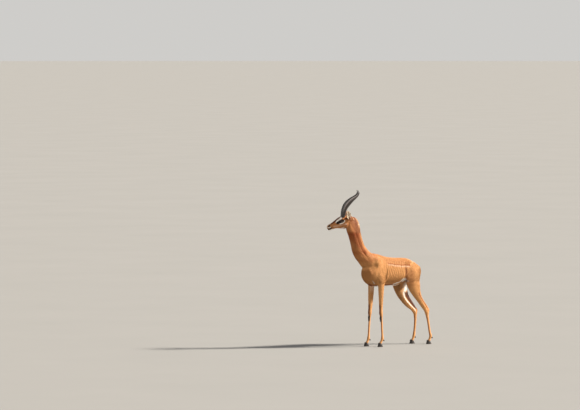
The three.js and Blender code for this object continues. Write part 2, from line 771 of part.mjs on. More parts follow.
// Where the body is parted, as outlines seen from the side
const legOutlines = {
  fore: (line) => {
    const x = along(line, 700);
    return [
      [x - 100, 640], [x - 88, 705], [x - 70, 760], [x - 20, 800], [x + 38, 790], [x + 62, 735],
      [x + 66, 690], [x + 100, 600], [x + 250, -60], [x - 250, -60],
    ];
  },
  hind: (line) => {
    const x = along(line, 691);
    const hip = -450;
    return [
      [x + 96, 655], [x + 92, 705], [(x + hip) / 2 + 112, 760], [hip + 100, 830], [hip + 62, 882],
      [hip, 902], [hip - 64, 878], [hip - 112, 812], [hip - 170, 800], [-900, 800], [-900, -60],
      [x + 140, -60],
    ];
  },
};
const LEG_INSIDE = { fore: 34, hind: 20 }; // distance of the cut's inner face from the middle
const CUT_HEIGHT = { fore: 361, hind: 352 }; // middle of the knee and of the hock
// The neck from the side, where it is parted from the trunk along the front of the shoulder
const COLLAR = [
  [-16, 1100], [-4, 985], [60, 905], [130, 838], [300, 760], [900, 760], [900, 1700], [-16, 1700],
];
// The plane that parts the head from the neck
const THROAT = { at: [286, -14, 1300], turn: HEAD_TURN * 0.6, tip: THREE.MathUtils.degToRad(24) };

// Everything above the throat's plane, which can be moved along its own upward way
function aboveThroat(shift) {
  const block = new THREE.BoxGeometry(700, 700, 500);
  block.translate(0, 0, 250 + shift);
  block.applyMatrix4(
    new THREE.Matrix4()
      .makeRotationZ(THROAT.turn)
      .multiply(new THREE.Matrix4().makeRotationY(THROAT.tip))
      .setPosition(...THROAT.at),
  );
  return solid(block);
}

function build() {
  const nodes = {};
  const colour = {};
  const keep = (name, body, tint) => {
    nodes[name] = largest(body);
    colour[name] = tint;
  };

  const legs = [];
  for (const [sideName, side] of SIDES) {
    legs.push(legSolid(FORELEG, `fore_${sideName}`, side));
    legs.push(legSolid(HINDLEG, `hind_${sideName}`, side));
  }
  const backward = FORWARD.clone().negate();
  const trunk = loft(sectionsAlongX(TRUNK), { face: UP, along: backward, sides: 22, steps: 1 });
  const neck = loft(NECK, { face: FORWARD, sides: 20, steps: 1 });
  const tail = tailSolid();
  const ears = SIDES.map(([sideName, side]) => [`ear_${sideName}`, earSolid(side)]);

  // Head and neck are one form, parted at the throat
  const whole = joined([trunk, neck, ...legs, ...bulgeSolids(), placed(headSolid(), headPlace)]);
  let head = whole.intersect(aboveThroat(0));
  let body = whole.subtract(aboveThroat(-GAP));

  for (const [name, side] of SIDES) {
    const eyePlace = headPlace.clone().multiply(eyeFrame(side));
    head = head.subtract(placed(hornSolid(side, GAP), hornPlace));
    head = head.subtract(placed(eyeball(GAP), eyePlace));
    keep(`horn_${name}`, placed(hornSolid(side), hornPlace), COLOURS.horn);
    keep(`eye_${name}`, placed(eyeball(), eyePlace), COLOURS.eye);
  }
  for (const [name, roll] of ears) keep(name, roll.subtract(head), COLOURS.face);
  for (const [, roll] of ears) head = head.subtract(roll);
  keep("head", head, COLOURS.face);

  keep("neck", body.intersect(plate(COLLAR, -BEYOND, BEYOND)), COLOURS.face);
  body = body.subtract(plate(COLLAR, -BEYOND, BEYOND, GAP));
  keep("tail", tail.subtract(body), COLOURS.tuft);
  body = body.subtract(tail);

  for (const [sideName, side] of SIDES)
    for (const [pair, table] of [["fore", FORELEG], ["hind", HINDLEG]]) {
      const name = `${pair}_${sideName}`;
      const line = LEG_LINES[name];
      const walls = [LEG_INSIDE[pair] * side, BEYOND * side].sort((a, b) => a - b);
      const outline = legOutlines[pair](line);
      const leg = largest(body.intersect(plate(outline, ...walls)));
      body = body.subtract(plate(outline, ...walls, GAP));

      const joint = CUT_HEIGHT[pair];
      const below = [[-900, -60], [500, -60], [500, joint], [-900, joint]];
      const upper = leg.subtract(plate(below, -BEYOND, BEYOND, GAP));
      keep(`${pair}leg_${sideName}_upper`, upper, COLOURS.flank);

      let lower = leg;
      if (pair === "fore") lower = joined([leg, ...kneeBrush(line, side)]);
      lower = lower.intersect(plate(below, -BEYOND, BEYOND));
      const footX = along(line, SOLE_LEVEL) - CLAW_BACK;
      const footY = table.at(-1).y * side;
      const dewclawX = along(line, DEWCLAW_LEVEL) - DEWCLAW.behind;
      lower = lower.subtract(coronetBlock(footX, footY, GAP));
      for (const [place, step] of [["inner", -side], ["outer", side]]) {
        const claw = clawSolid(footX, footY + CLAW_APART * step);
        const dewclawY = footY + DEWCLAW.apart * step;
        lower = lower.subtract(dewclawSolid(dewclawX, dewclawY, GAP));
        keep(`hoof_${name}_${place}`, claw.intersect(coronetBlock(footX, footY, 0)), COLOURS.hoof);
        keep(`dewclaw_${name}_${place}`, dewclawSolid(dewclawX, dewclawY, 0), COLOURS.hoof);
      }
      keep(`${pair}leg_${sideName}_lower`, lower, COLOURS.flank);
    }

  keep("trunk", body, COLOURS.flank);
  return { nodes, colour };
}

const { nodes, colour } = build();
const gerenuk = new THREE.Group();
gerenuk.name = "gerenuk";
for (const [name, body] of Object.entries(nodes)) {
  const roughness = name.startsWith("eye") ? WET : DULL;
  const material = new THREE.MeshStandardMaterial({ color: colour[name], roughness, metalness: 0 });
  const mesh = new THREE.Mesh(geometryOf(body), material);
  mesh.name = name;
  gerenuk.add(mesh);
}
gerenuk.scale.setScalar(SCALE);

// The origin is on the floor, under the middle of the whole
const box = new THREE.Box3().setFromObject(gerenuk);
const middle = box.getCenter(new THREE.Vector3());
gerenuk.position.set(-middle.x, -middle.y, -box.min.z);

export default gerenuk;
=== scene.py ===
# A life-size male gerenuk, standing alert: skin and short coat, ringed horns, hooves, eyes and a tufted tail.
# Tables are in millimetres in the animal's own frame: x the way it faces, y its left, z up from the floor.
import math
import bpy
import numpy as np
from mathutils import Matrix, Vector


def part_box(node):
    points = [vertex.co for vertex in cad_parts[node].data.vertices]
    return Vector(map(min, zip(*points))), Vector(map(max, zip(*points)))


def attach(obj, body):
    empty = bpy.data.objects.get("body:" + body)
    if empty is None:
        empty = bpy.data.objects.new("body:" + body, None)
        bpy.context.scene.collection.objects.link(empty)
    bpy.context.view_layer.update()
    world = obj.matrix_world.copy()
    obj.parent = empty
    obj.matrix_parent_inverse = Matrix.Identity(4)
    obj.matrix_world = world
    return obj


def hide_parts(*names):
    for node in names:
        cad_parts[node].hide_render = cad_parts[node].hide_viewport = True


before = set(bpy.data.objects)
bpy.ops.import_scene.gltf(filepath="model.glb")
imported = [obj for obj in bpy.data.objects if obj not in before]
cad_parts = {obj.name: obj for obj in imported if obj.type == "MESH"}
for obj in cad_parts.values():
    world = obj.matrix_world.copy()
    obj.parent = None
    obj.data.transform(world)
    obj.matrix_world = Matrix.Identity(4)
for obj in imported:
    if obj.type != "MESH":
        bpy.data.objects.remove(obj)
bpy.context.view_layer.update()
mm = 0.001
sides = {"left": 1, "right": -1}
rng = np.random.default_rng(5)


# The body's tables: the same forms as the solids, which this dresses

trunkRows = [  # forward, top, bottom, level, half width, power above, power below
    [156, 816, 762, 782, 20, 2, 2],
    [148, 860, 736, 788, 44, 2, 2],
    [126, 901, 702, 792, 66, 2, 2],
    [90, 930, 673, 790, 83, 1.9, 2.1],
    [50, 968, 653, 795, 95, 1.8, 2.1],
    [0, 1000, 646, 800, 102, 1.7, 2.1],
    [-60, 987, 645, 800, 107, 1.8, 2.1],
    [-120, 968, 647, 800, 109, 1.9, 2.1],
    [-200, 954, 648, 802, 111, 2, 2.1],
    [-280, 948, 651, 804, 108, 2, 2.1],
    [-340, 946, 677, 810, 101, 2.1, 2],
    [-400, 938, 710, 826, 100, 2, 2],
    [-450, 920, 716, 828, 99, 1.9, 2],
    [-500, 884, 716, 820, 91, 1.9, 2],
    [-540, 846, 722, 798, 73, 2, 2],
    [-558, 812, 738, 780, 50, 2, 2],
    [-566, 794, 755, 774, 22, 2, 2],
]

neckRows = [  # middle x, y, z, reach to the throat, reach to the nape, half width, power
    [-4, 0, 852, 118, 98, 74, 2],
    [48, 0, 912, 118, 104, 82, 2],
    [98, 0, 950, 110, 77, 74, 2],
    [140, 0, 984, 98, 74, 64, 2],
    [178, 0, 1022, 94, 76, 58, 2],
    [203, -1, 1060, 89, 73, 55, 2],
    [229, -3, 1131, 80, 69, 51, 2],
    [256, -8, 1215, 76, 75, 50, 2],
    [280, -15, 1288, 76, 95, 50, 2],
    [298, -25, 1344, 62, 93, 48, 2],
    [312, -32, 1382, 38, 66, 36, 2],
    [318, -35, 1400, 14, 34, 16, 2],
]

legRows = {  # height, reach forward, reach back, distance from the middle, half thickness, power, waist
    "fore": [
        [850, 40, 40, 66, 22, 2, 0],
        [820, 60, 60, 70, 30, 2, 0],
        [780, 58, 64, 74, 33, 2, 0],
        [730, 47, 62, 76, 33, 2, 0],
        [696, 40, 58, 76, 31, 2, 0],
        [665, 36, 43, 76, 29, 2, 0],
        [615, 33, 35, 75, 26, 2, 0],
        [535, 28.5, 28, 74, 22.5, 2, 0],
        [450, 23, 22.5, 72, 19, 2, 0],
        [395, 20, 19.5, 71, 18, 2.2, 0],
        [372, 21, 19.5, 71, 19, 2.4, 0],
        [350, 19.5, 19.5, 71, 18, 2.4, 0],
        [328, 14.5, 17, 71, 15, 2.2, 0],
        [298, 12, 13.5, 71, 12, 2.1, 0],
        [200, 11.5, 12.5, 70, 11, 2.1, 0],
        [120, 12, 13, 69, 11.5, 2.1, 0],
        [94, 14.5, 17, 69, 14.5, 2.1, 0],
        [78, 15, 18, 69, 15.5, 2.1, 0],
        [58, 13.5, 13.5, 69, 15, 2.1, 0],
        [44, 15, 14, 69, 18, 2.2, 0],
        [30, 20, 15, 69, 20, 2.3, 0],
        [14, 26, 20, 69, 21, 2.3, 0],
    ],
    "hind": [
        [898, 36, 30, 46, 20, 2, 0],
        [876, 66, 56, 50, 30, 2, 0],
        [842, 98, 88, 58, 38, 2, 0],
        [800, 114, 103, 66, 42, 2, 0],
        [740, 110, 97, 70, 42, 2, 0],
        [691, 92, 87, 74, 40, 2, 0],
        [643, 79, 84, 77, 36, 2, 0],
        [596, 66, 70, 77, 31, 2, 0],
        [523, 53, 47, 74, 26, 2, 0.05],
        [465, 45, 38, 70, 22, 2, 0.25],
        [425, 41, 38, 67, 20, 2, 0.36],
        [395, 37, 40, 65, 18.5, 2.1, 0.3],
        [372, 32, 39, 65, 18.5, 2.2, 0.14],
        [345, 25, 28, 65, 18.5, 2.2, 0],
        [312, 18, 19, 66, 15, 2.1, 0],
        [240, 14, 15, 68, 12.5, 2.1, 0],
        [130, 13, 14, 71, 12, 2.1, 0],
        [98, 14.5, 17, 72, 14, 2.1, 0],
        [80, 15, 18, 72, 15.5, 2.1, 0],
        [58, 13.5, 13.5, 72, 15, 2.1, 0],
        [44, 15, 14, 72, 18, 2.2, 0],
        [30, 20, 15, 72, 20, 2.3, 0],
        [14, 26, 20, 72, 21, 2.3, 0],
    ],
}

legLines = {  # height and distance forward of each leg's own middle line
    "foreLeft": [[850, -2], [780, -12], [700, -25], [620, -29], [535, -30], [360, -32], [300, -38],
                 [200, -45], [86, -50], [58, -38], [30, -22], [14, -12]],
    "foreRight": [[850, 4], [780, 2], [700, -2], [620, 1], [535, 7], [360, 18], [200, 29],
                  [86, 38], [58, 47], [30, 63], [14, 73]],
    "hindLeft": [[915, -448], [850, -448], [800, -448], [740, -442], [691, -442], [643, -447], [596, -460],
                 [523, -508], [465, -557], [425, -590], [395, -611], [372, -624], [345, -631], [312, -636],
                 [240, -650], [130, -667], [88, -677], [58, -668], [30, -652], [14, -642]],
    "hindRight": [[915, -446], [850, -436], [800, -420], [740, -390], [691, -371], [643, -366], [596, -377],
                  [523, -411], [465, -454], [425, -494], [395, -526], [372, -551], [345, -564], [312, -569],
                  [240, -571], [130, -562], [88, -556], [58, -547], [30, -531], [14, -521]],
}
stouter = {  # height, and what is added to that leg's reach forward and back
    "foreRight": [[660, 0, 0], [600, 0, 5], [535, 0, 7], [450, 0, 6], [395, 0, 2], [360, 0, 0], [20, 0, 0]],
    "hindRight": [[720, 0, 0], [643, 4, 11], [596, 10, 21], [523, 16, 32], [465, 20, 36], [425, 25, 24],
                  [395, 24, 10], [360, 12, 4], [330, 3, 1], [300, 0, 0], [20, 0, 0]],
    "hindLeft": [[680, 0, 0], [605, 0, 7], [560, 0, 3], [465, 4, 2], [425, 7, 2], [395, 5, 1], [360, 0, 0],
                 [20, 0, 0]],
}
legs = [(pair, sideName, side, pair + sideName.capitalize())
        for pair in legRows for sideName, side in sides.items()]
legsPart = -220  # x that parts the front legs from the hind ones

bulges = [  # middle, half sizes, turns about x, y, z in radians
    [[0, 62, 880], [56, 36, 98], [0, 0.42, 0]],  # shoulder blade
    [[88, 56, 792], [44, 34, 56], [0, 0.2, 0]],  # point of the shoulder
    [[-42, 74, 776], [62, 33, 68], [0, -0.3, 0]],  # triceps
    [[-372, 68, 894], [52, 24, 24], [0, 0.2, 0]],  # hip bone
    [[-530, 44, 818], [30, 27, 40], [0, 0, 0]],  # seat bone
]

head = {"at": [382, -56, 1354], "turn": -22, "tip": 24.5, "voxel": 1.5}
headRows = [  # forward, top, bottom, level, half width, power above, power below
    [178, 14, -7, 3, 7, 2, 2],
    [175, 23, -15, 3, 13, 2, 2],
    [166, 31, -24, 1, 18.5, 2.2, 2.1],
    [150, 36, -28, -2, 21, 2.3, 2.1],
    [128, 38, -29, -2, 21.5, 2.2, 2],
    [104, 42, -33, 0, 25, 2.1, 2],
    [76, 49, -43, 4, 31, 2, 1.9],
    [48, 56, -58, 8, 38, 2, 1.8],
    [20, 61, -73, 10, 43, 2.1, 1.8],
    [-8, 61, -83, 11, 45, 2.2, 1.8],
    [-38, 57, -88, 8, 46, 2.3, 1.9],
    [-68, 50, -86, 2, 46, 2.2, 2],
    [-95, 35, -76, -10, 42, 2, 2],
    [-114, 13, -62, -22, 34, 2, 2],
    [-124, -8, -48, -28, 19, 2, 2],
]
headBulges = [  # middle, half sizes, turns about x, y, z
    [[8, 33, 29], [38, 14, 13], [0, 0.12, -0.12]],  # brow
    [[2, 33, -10], [36, 13, 12], [0, 0.2, 0.1]],  # cheek bone
    [[-28, 33, -48], [38, 15, 34], [0, -0.3, 0]],  # jaw muscle
    [[148, 12.5, 23], [17, 9, 10], [0, 0.1, 0]],  # wing of the nostril
]
mouthLine = [[186, -10], [162, -12.5], [138, -12], [114, -7]]

eye = {"radius": 19, "forward": 7, "across": 35, "up": 10, "turnOut": 74, "turnUp": 6,
       "lid": 2.6, "length": 34, "height": 23, "tilt": 8,
       # the lids' two arcs as cubic curves, in shares of half the length and half the height
       "arcs": [[[-1, 0], [-0.45, 1.35], [0.4, 1.3], [1, 0]], [[1, 0], [0.4, -1.25], [-0.5, -1.3], [-1, 0]]]}

hornBase = {"forward": -28, "up": 44}
hornRows = [  # x, y, z from the base in a level frame, reach front, reach back, half width, power
    [5, 21, -26, 20, 20, 16, 2],
    [0, 22, 0, 23, 19, 18, 2],
    [-5, 27, 42, 24, 18, 18.5, 2],
    [-13, 34, 83, 23, 23, 18.5, 2],
    [-28, 41, 124, 20, 31, 18, 2],
    [-54, 47, 158, 17.5, 30, 17, 2],
    [-85, 50, 185, 15, 25, 15, 2],
    [-117, 49, 206, 12.5, 17.5, 12, 2],
    [-148, 45, 229, 10, 11, 9, 2],
    [-163, 40, 253, 7.4, 7.4, 6.6, 2],
    [-163, 36, 272, 4.6, 4.6, 4.4, 2],
    [-156, 34, 286, 1.6, 1.6, 1.6, 2],
]

ear = {"length": 142, "forward": -67, "across": 33, "up": 7,
       "long": [0.24, 0.67, 0.7], "open": [-0.45, 0.8, 0.05], "arch": 7, "flare": 10,
       "depth": 0.6, "rings": 10, "turns": 22}
earRows = [  # share of the length, half width round the roll, half angle of the roll, wall
    [-0.08, 27, 165, 5],
    [0.02, 30, 155, 5],
    [0.14, 38, 112, 4.6],
    [0.3, 43, 84, 4.2],
    [0.48, 41, 68, 3.8],
    [0.66, 28, 56, 3.4],
    [0.82, 16, 50, 3],
    [0.93, 8, 46, 2.6],
    [1.0, 3.5, 40, 2.2],
]

tailRows = [  # x, y, z, reach front, reach back, half width, power
    [-528, 0, 858, 16, 16, 16, 2],
    [-550, -2, 848, 15, 15, 15, 2],
    [-568, -7, 824, 12, 12, 13, 2],
    [-575, -15, 788, 10, 10, 11, 2],
    [-574, -23, 744, 8.5, 8.5, 9, 2],
    [-571, -27, 700, 7, 7, 7.5, 2],
    [-567, -29, 655, 5, 5, 5.5, 2],
    [-564, -30, 625, 2.5, 2.5, 2.5, 2],
]

clawRows = [  # height, reach to the toe, reach to the heel, half width, power
    [0, 34, 23, 8.6, 1.7],
    [4, 34, 23, 9, 1.7],
    [14, 27, 21, 9.2, 1.8],
    [26, 19, 18, 9, 1.9],
    [42, 10, 14, 8.4, 2],
]
foot = {"apart": 9.8, "lean": 0.35, "toe": -8, "level": 30, "coronetFront": 34, "coronetBack": 21,
        "run": 60, "heel": 26}



# Geometry helpers: arrays of points in millimetres and of faces

def ramp(value, low, high):
    t = np.clip((value - low) / (high - low), 0, 1)
    return t * t * (3 - 2 * t)


def hump(value, middle, wide):
    return np.exp(-(((value - middle) / wide) ** 2))


def zones(**values):
    # makes a function that gives a zone's share: two numbers are a rise or a fall, four a rise and a fall
    def zone(**edges):
        share = 1.0
        for name, at in edges.items():
            share = share * ramp(values[name], at[0], at[1])
            if len(at) > 2:
                share = share * ramp(values[name], at[3], at[2])
        return share
    return zone


def unit(vectors):
    return vectors / np.maximum(np.linalg.norm(vectors, axis=-1, keepdims=True), 1e-9)


def square(vectors, to):
    # what is left of each vector at right angles to another
    return unit(vectors - to * np.sum(vectors * to, 1, keepdims=True))


def readRows(rows, by, value, *columns):
    # looks a value up in one column of a table and gives what stands in others
    table = np.array(rows, float)
    table = table[np.argsort(table[:, by])]
    return [np.interp(value, table[:, by], table[:, column]) for column in columns]


def between(rows, spacing, steps):
    # a cubic through the rows, with each slope taken from the rows on both sides
    rows, spacing = np.asarray(rows, float), np.asarray(spacing, float)
    order = np.arange(len(rows))
    before, after = np.maximum(order - 1, 0), np.minimum(order + 1, len(rows) - 1)
    slope = (rows[after] - rows[before]) / (spacing[after] - spacing[before])[:, None]
    made = [rows[:1]]
    t = (np.arange(1, steps + 1) / steps)[:, None]
    for i in range(len(rows) - 1):
        span = spacing[i + 1] - spacing[i]
        made.append((2 * t**3 - 3 * t**2 + 1) * rows[i] + (t**3 - 2 * t**2 + t) * slope[i] * span
                    + (3 * t**2 - 2 * t**3) * rows[i + 1] + (t**3 - t**2) * slope[i + 1] * span)
    return np.vstack(made)


def ringFaces(count, around):
    i, k = np.meshgrid(np.arange(count - 1), np.arange(around), indexing="ij")
    a, b = i * around + k, i * around + (k + 1) % around
    quads = np.stack([a, b, b + around, a + around], -1).reshape(-1, 4)
    k = np.arange(around)
    start, end, last = count * around, count * around + 1, (count - 1) * around
    caps = np.vstack([np.stack([np.full(around, start), (k + 1) % around, k], -1),
                      np.stack([np.full(around, end), last + k, last + (k + 1) % around], -1)])
    return [quads, caps]


# how much thinner than its solid a leg's skin is, to leave room for the coat: height, millimetres
coatRoom = [[0, 1.0], [420, 1.2], [700, 1.8]]


def tube(rows, face, along=None, around=48, steps=6, depth=0, raised=None):
    # rows: x, y, z, reach to the front of face, to its back, to the side, power in front, power behind, waist
    rows = np.asarray(rows, float)
    gaps = np.linalg.norm(np.diff(rows[:, :3], axis=0), axis=1).clip(1)
    ring = between(rows, np.concatenate([[0], np.cumsum(gaps)]), steps)
    middle = ring[:, :3]
    if along is None:
        order = np.arange(len(ring))
        way = unit(middle[np.minimum(order + 1, len(ring) - 1)] - middle[np.maximum(order - 1, 0)])
    else:
        way = np.tile(np.asarray(along, float), (len(ring), 1))
    face = np.asarray(face, float)
    front = unit(face - way * (way @ face)[:, None])
    across = np.cross(way, front)
    angle = 2 * np.pi * np.arange(around) / around
    c, s = np.cos(angle)[None], np.sin(angle)[None]
    power = 2 / np.where(c >= 0, ring[:, 6:7], ring[:, 7:8])
    u = np.sign(c) * np.abs(c) ** power
    v = np.sign(s) * np.abs(s) ** power
    v = v * (1 - ring[:, 8:9] * hump(u, -0.42, 0.27))
    inset = readRows(coatRoom, 0, ring[:, 2], 1)[0][:, None] if depth == "coat" else depth
    reach = np.maximum(np.where(c >= 0, ring[:, 3:4], ring[:, 4:5]) - inset, 0.5)
    side = np.maximum(ring[:, 5:6] - inset, 0.5)
    if raised is not None:
        lift = raised(np.arange(len(ring)) / (len(ring) - 1), angle)
        reach, side = reach + lift, side + lift
    points = middle[:, None] + front[:, None] * (u * reach)[..., None]
    points = points + across[:, None] * (v * side)[..., None]
    points = np.vstack([points.reshape(-1, 3), middle[:1], middle[-1:]])
    return points, ringFaces(len(ring), around)


def full(rows, kind):
    # fills in a table's short forms: sections along x, or a middle line with one power
    rows = np.asarray(rows, float)
    zero = np.zeros(len(rows))
    if kind == "sections":
        x, top, bottom, level, side, power, below = rows.T
        return np.stack([x, zero, level, top - level, level - bottom, side, power, below, zero], 1)
    x, y, z, front, back, side, power = rows.T
    return np.stack([x, y, z, front, back, side, power, power, zero], 1)


def ball(rings, around, rim=0.02):
    rows = [[0, 0, -math.cos(math.pi * t)] + [math.sin(math.pi * t)] * 3 + [2, 2, 0]
            for t in np.linspace(rim, 1 - rim, rings)]
    points, faces = tube(rows, [1, 0, 0], along=[0, 0, 1], around=around, steps=1)
    points[-2:] = [[0, 0, -1], [0, 0, 1]]
    return points, faces


def fineBall(radius, at):
    points, faces = ball(40, 64)
    return points * radius + at, faces


def rotation(turn):
    x, y, z = turn
    return np.array(Matrix.Rotation(x, 3, "X") @ Matrix.Rotation(y, 3, "Y") @ Matrix.Rotation(z, 3, "Z"))


def egg(at, size, turn, around=32):
    points, faces = ball(15, around, 0.04)
    return (points * size) @ rotation(turn).T + at, faces


def bulge(row, side, depth):
    # a row of middle, half sizes and turns, on the left or mirrored to the right
    at, size, turn = row
    return egg(np.array(at) * [1, side, 1], np.array(size) - depth, (turn[0] * side, turn[1], turn[2] * side))


def prism(points, flip):
    # two matching outlines, one after the other, with walls between them and both ends closed
    count = len(points) // 2
    k = np.arange(count)
    after = (k + 1) % count
    faces = [np.stack([k, after, after + count, k + count], 1), k[None, ::-1], (k + count)[None, :]]
    return points, [f[:, ::-1] for f in faces] if flip else faces


def slab(outline, low, high):
    # an outline in the side view, made thick across it
    x, z = np.array(outline, float).T
    area = np.sum(x * np.roll(z, -1) - np.roll(x, -1) * z)
    return prism(np.vstack([np.stack([x, np.full(len(x), y), z], 1) for y in (low, high)]), area > 0)


def meshObject(name, points, faces, scale=1.0, offset=(0, 0, 0)):
    mesh = bpy.data.meshes.new(name)
    corners = np.concatenate([f.ravel() for f in faces]).astype(np.int32)
    sizes = np.concatenate([np.full(len(f), f.shape[1]) for f in faces])
    mesh.vertices.add(len(points))
    mesh.vertices.foreach_set("co", (points * scale + np.asarray(offset)).astype(np.float32).ravel())
    mesh.loops.add(len(corners))
    mesh.loops.foreach_set("vertex_index", corners)
    mesh.polygons.add(len(sizes))
    mesh.polygons.foreach_set("loop_start", np.concatenate([[0], np.cumsum(sizes)[:-1]]).astype(np.int32))
    mesh.update(calc_edges=True)
    made = bpy.data.objects.new(name, mesh)
    bpy.context.scene.collection.objects.link(made)
    return made


def remove(target):
    mesh = target.data
    bpy.data.objects.remove(target)
    bpy.data.meshes.remove(mesh)


def applied(target):
    # bakes an object's modifiers, gives its points and triangles back and removes it
    bpy.context.view_layer.update()
    seen = target.evaluated_get(bpy.context.evaluated_depsgraph_get())
    mesh = seen.to_mesh()
    mesh.calc_loop_triangles()
    points = np.zeros(len(mesh.vertices) * 3, np.float32)
    mesh.vertices.foreach_get("co", points)
    triangles = np.zeros(len(mesh.loop_triangles) * 3, np.int32)
    mesh.loop_triangles.foreach_get("vertices", triangles)
    seen.to_mesh_clear()
    remove(target)
    return points.reshape(-1, 3).astype(float), triangles.reshape(-1, 3)


def remeshed(parts, voxel):
    points, faces, count = [], [], 0
    for some, someFaces in parts:
        points.append(some)
        faces += [f + count for f in someFaces]
        count += len(some)
    work = meshObject("work", np.vstack(points), faces)
    modifier = work.modifiers.new("remesh", "REMESH")
    modifier.mode = "VOXEL"
    modifier.voxel_size = voxel
    return applied(work)


def combined(base, other, operation):
    # a boolean of two closed meshes, each given as points and a list of face arrays
    first, second = meshObject("first", *base), meshObject("second", *other)
    modifier = first.modifiers.new("join", "BOOLEAN")
    modifier.operation = operation
    modifier.solver = "MANIFOLD"
    modifier.object = second
    points, triangles = applied(first)
    remove(second)
    return points, [triangles]


def smoothed(points, triangles, rounds, weight=1.0, hold=True):
    # pulls each point to the middle of its neighbours, and pushes back after each pull where hold is set
    count = len(points)
    pairs = np.sort(np.vstack([triangles[:, [0, 1]], triangles[:, [1, 2]], triangles[:, [2, 0]]]), axis=1)
    edges = np.unique(pairs[:, 0].astype(np.int64) * count + pairs[:, 1])
    a, b = edges // count, edges % count
    degree = np.maximum(np.bincount(a, minlength=count) + np.bincount(b, minlength=count), 1)[:, None]
    weight = np.broadcast_to(np.asarray(weight, float), (count,))[:, None]
    points = points.copy()
    for _ in range(rounds):
        for pull in ([0.5, -0.53] if hold else [0.5]):
            total = np.stack([np.bincount(a, column[b], count) + np.bincount(b, column[a], count)
                              for column in points.T], 1)
            points += pull * weight * (total / degree - points)
    return points


def normalsOf(points, triangles):
    p, q, r = points[triangles[:, 0]], points[triangles[:, 1]], points[triangles[:, 2]]
    flat = np.cross(q - p, r - p)
    total = np.zeros_like(points)
    for corner in range(3):
        for k in range(3):
            total[:, k] += np.bincount(triangles[:, corner], flat[:, k], len(points))
    return unit(total)


def blended(points, triangles, rounds, weight):
    # rounds off hard joins, and then gives back the bulk that this took away
    soft = smoothed(points, triangles, rounds, weight, hold=False)
    normals = normalsOf(soft, triangles)
    lost = np.sum((points - soft) * normals, 1)[:, None]
    return soft + normals * smoothed(lost, triangles, 2 * rounds, hold=False)


def lineDistance(points, line):
    # distance to a line through several points, and how far along it the nearest place lies, 0 to 1
    line = np.asarray(line, float)
    best, share = np.full(len(points), 1e9), np.zeros(len(points))
    for i in range(len(line) - 1):
        step = line[i + 1] - line[i]
        t = np.clip(((points - line[i]) @ step) / (step @ step), 0, 1)
        away = np.linalg.norm(points - line[i] - t[:, None] * step, axis=1)
        nearer = away < best
        best = np.where(nearer, away, best)
        share = np.where(nearer, (i + t) / (len(line) - 1), share)
    return best, share


def relief(points, lines):
    # how high or deep the lines of a table lie here, on both sides
    mirrored = np.stack([points[:, 0], np.abs(points[:, 1]), points[:, 2]], 1)
    return sum(high * hump(lineDistance(mirrored, line)[0], 0, wide) for line, wide, high in lines)


# Frames of the head, eyes, horns and ears

headTurn = np.array(Matrix.Rotation(math.radians(head["turn"]), 3, "Z"))
headAxes = headTurn @ np.array(Matrix.Rotation(math.radians(head["tip"]), 3, "Y"))
headAt = np.array(head["at"], float)


def onHead(points):
    return np.asarray(points, float) @ headAxes.T + headAt


def fromHead(points):
    return (points - headAt) @ headAxes


hornRoot = onHead([hornBase["forward"], 0, hornBase["up"]])


def eyeAxes(side):
    turn = Matrix.Rotation(math.radians(eye["turnOut"]) * side, 3, "Z")
    return np.array(turn @ Matrix.Rotation(math.radians(-eye["turnUp"]), 3, "Y"))


def eyeAt(side):
    return np.array([eye["forward"], eye["across"] * side, eye["up"]], float)


def fromEye(points, side):
    # from the head's frame to the eye's own: out of the eye, across it, and up
    local = (points - eyeAt(side)) @ eyeAxes(side)
    tilt = math.radians(eye["tilt"]) * side
    across = local[:, 1] * math.cos(tilt) + local[:, 2] * math.sin(tilt)
    up = -local[:, 1] * math.sin(tilt) + local[:, 2] * math.cos(tilt)
    return np.stack([local[:, 0], across * side, up], 1)


def onEye(spots, side):
    # and back again
    tilt = math.radians(eye["tilt"]) * side
    across, up = spots[:, 1] * side, spots[:, 2]
    local = np.stack([spots[:, 0], across * math.cos(tilt) - up * math.sin(tilt),
                      across * math.sin(tilt) + up * math.cos(tilt)], 1)
    return local @ eyeAxes(side).T + eyeAt(side)


def earFrame(side):
    long = unit(np.array(ear["long"], float) * [1, side, 1])
    opening = np.array(ear["open"], float) * [1, side, 1]
    opening = unit(opening - long * (opening @ long))
    axes = headTurn @ np.stack([opening, np.cross(long, opening), long], 1)
    return axes, onHead([ear["forward"], ear["across"] * side, ear["up"]])


def earBend(share):
    # how far back the ear's sheet lies at each share of its length
    return ear["flare"] * share**2 - ear["arch"] * np.sin(np.pi * np.clip(share, 0, 1))


def legLine(name, z):
    line = np.array(legLines[name][::-1], float)
    fine = between(line, line[:, 0], 12)
    return np.interp(z, fine[:, 0], fine[:, 1])


def legTable(pair, side, name):
    z, front, back, y, half, power, waist = np.array(legRows[pair], float).T
    if name in stouter:
        moreFront, moreBack = readRows(stouter[name], 0, z, 1, 2)
        front, back = front + moreFront, back + moreBack
    return np.stack([legLine(name, z), y * side, z, front, back, half, power, power, waist], 1)


def legPlace(points):
    # how far before its leg's middle line each place lies, as a share of the leg's reach that way
    share = np.zeros(len(points))
    for pair, _, side, name in legs:
        here = ((points[:, 0] > legsPart) == (pair == "fore")) & (points[:, 1] * side >= 0)
        across = points[here, 0] - legLine(name, points[here, 2])
        front, back = readRows(legTable(pair, side, name), 2, points[here, 2], 3, 4)
        share[here] = across / np.where(across > 0, front, back)
    return share


def footAt(pair, side, name):
    return float(legLine(name, foot["level"])) + foot["toe"], legRows[pair][-1][3] * side


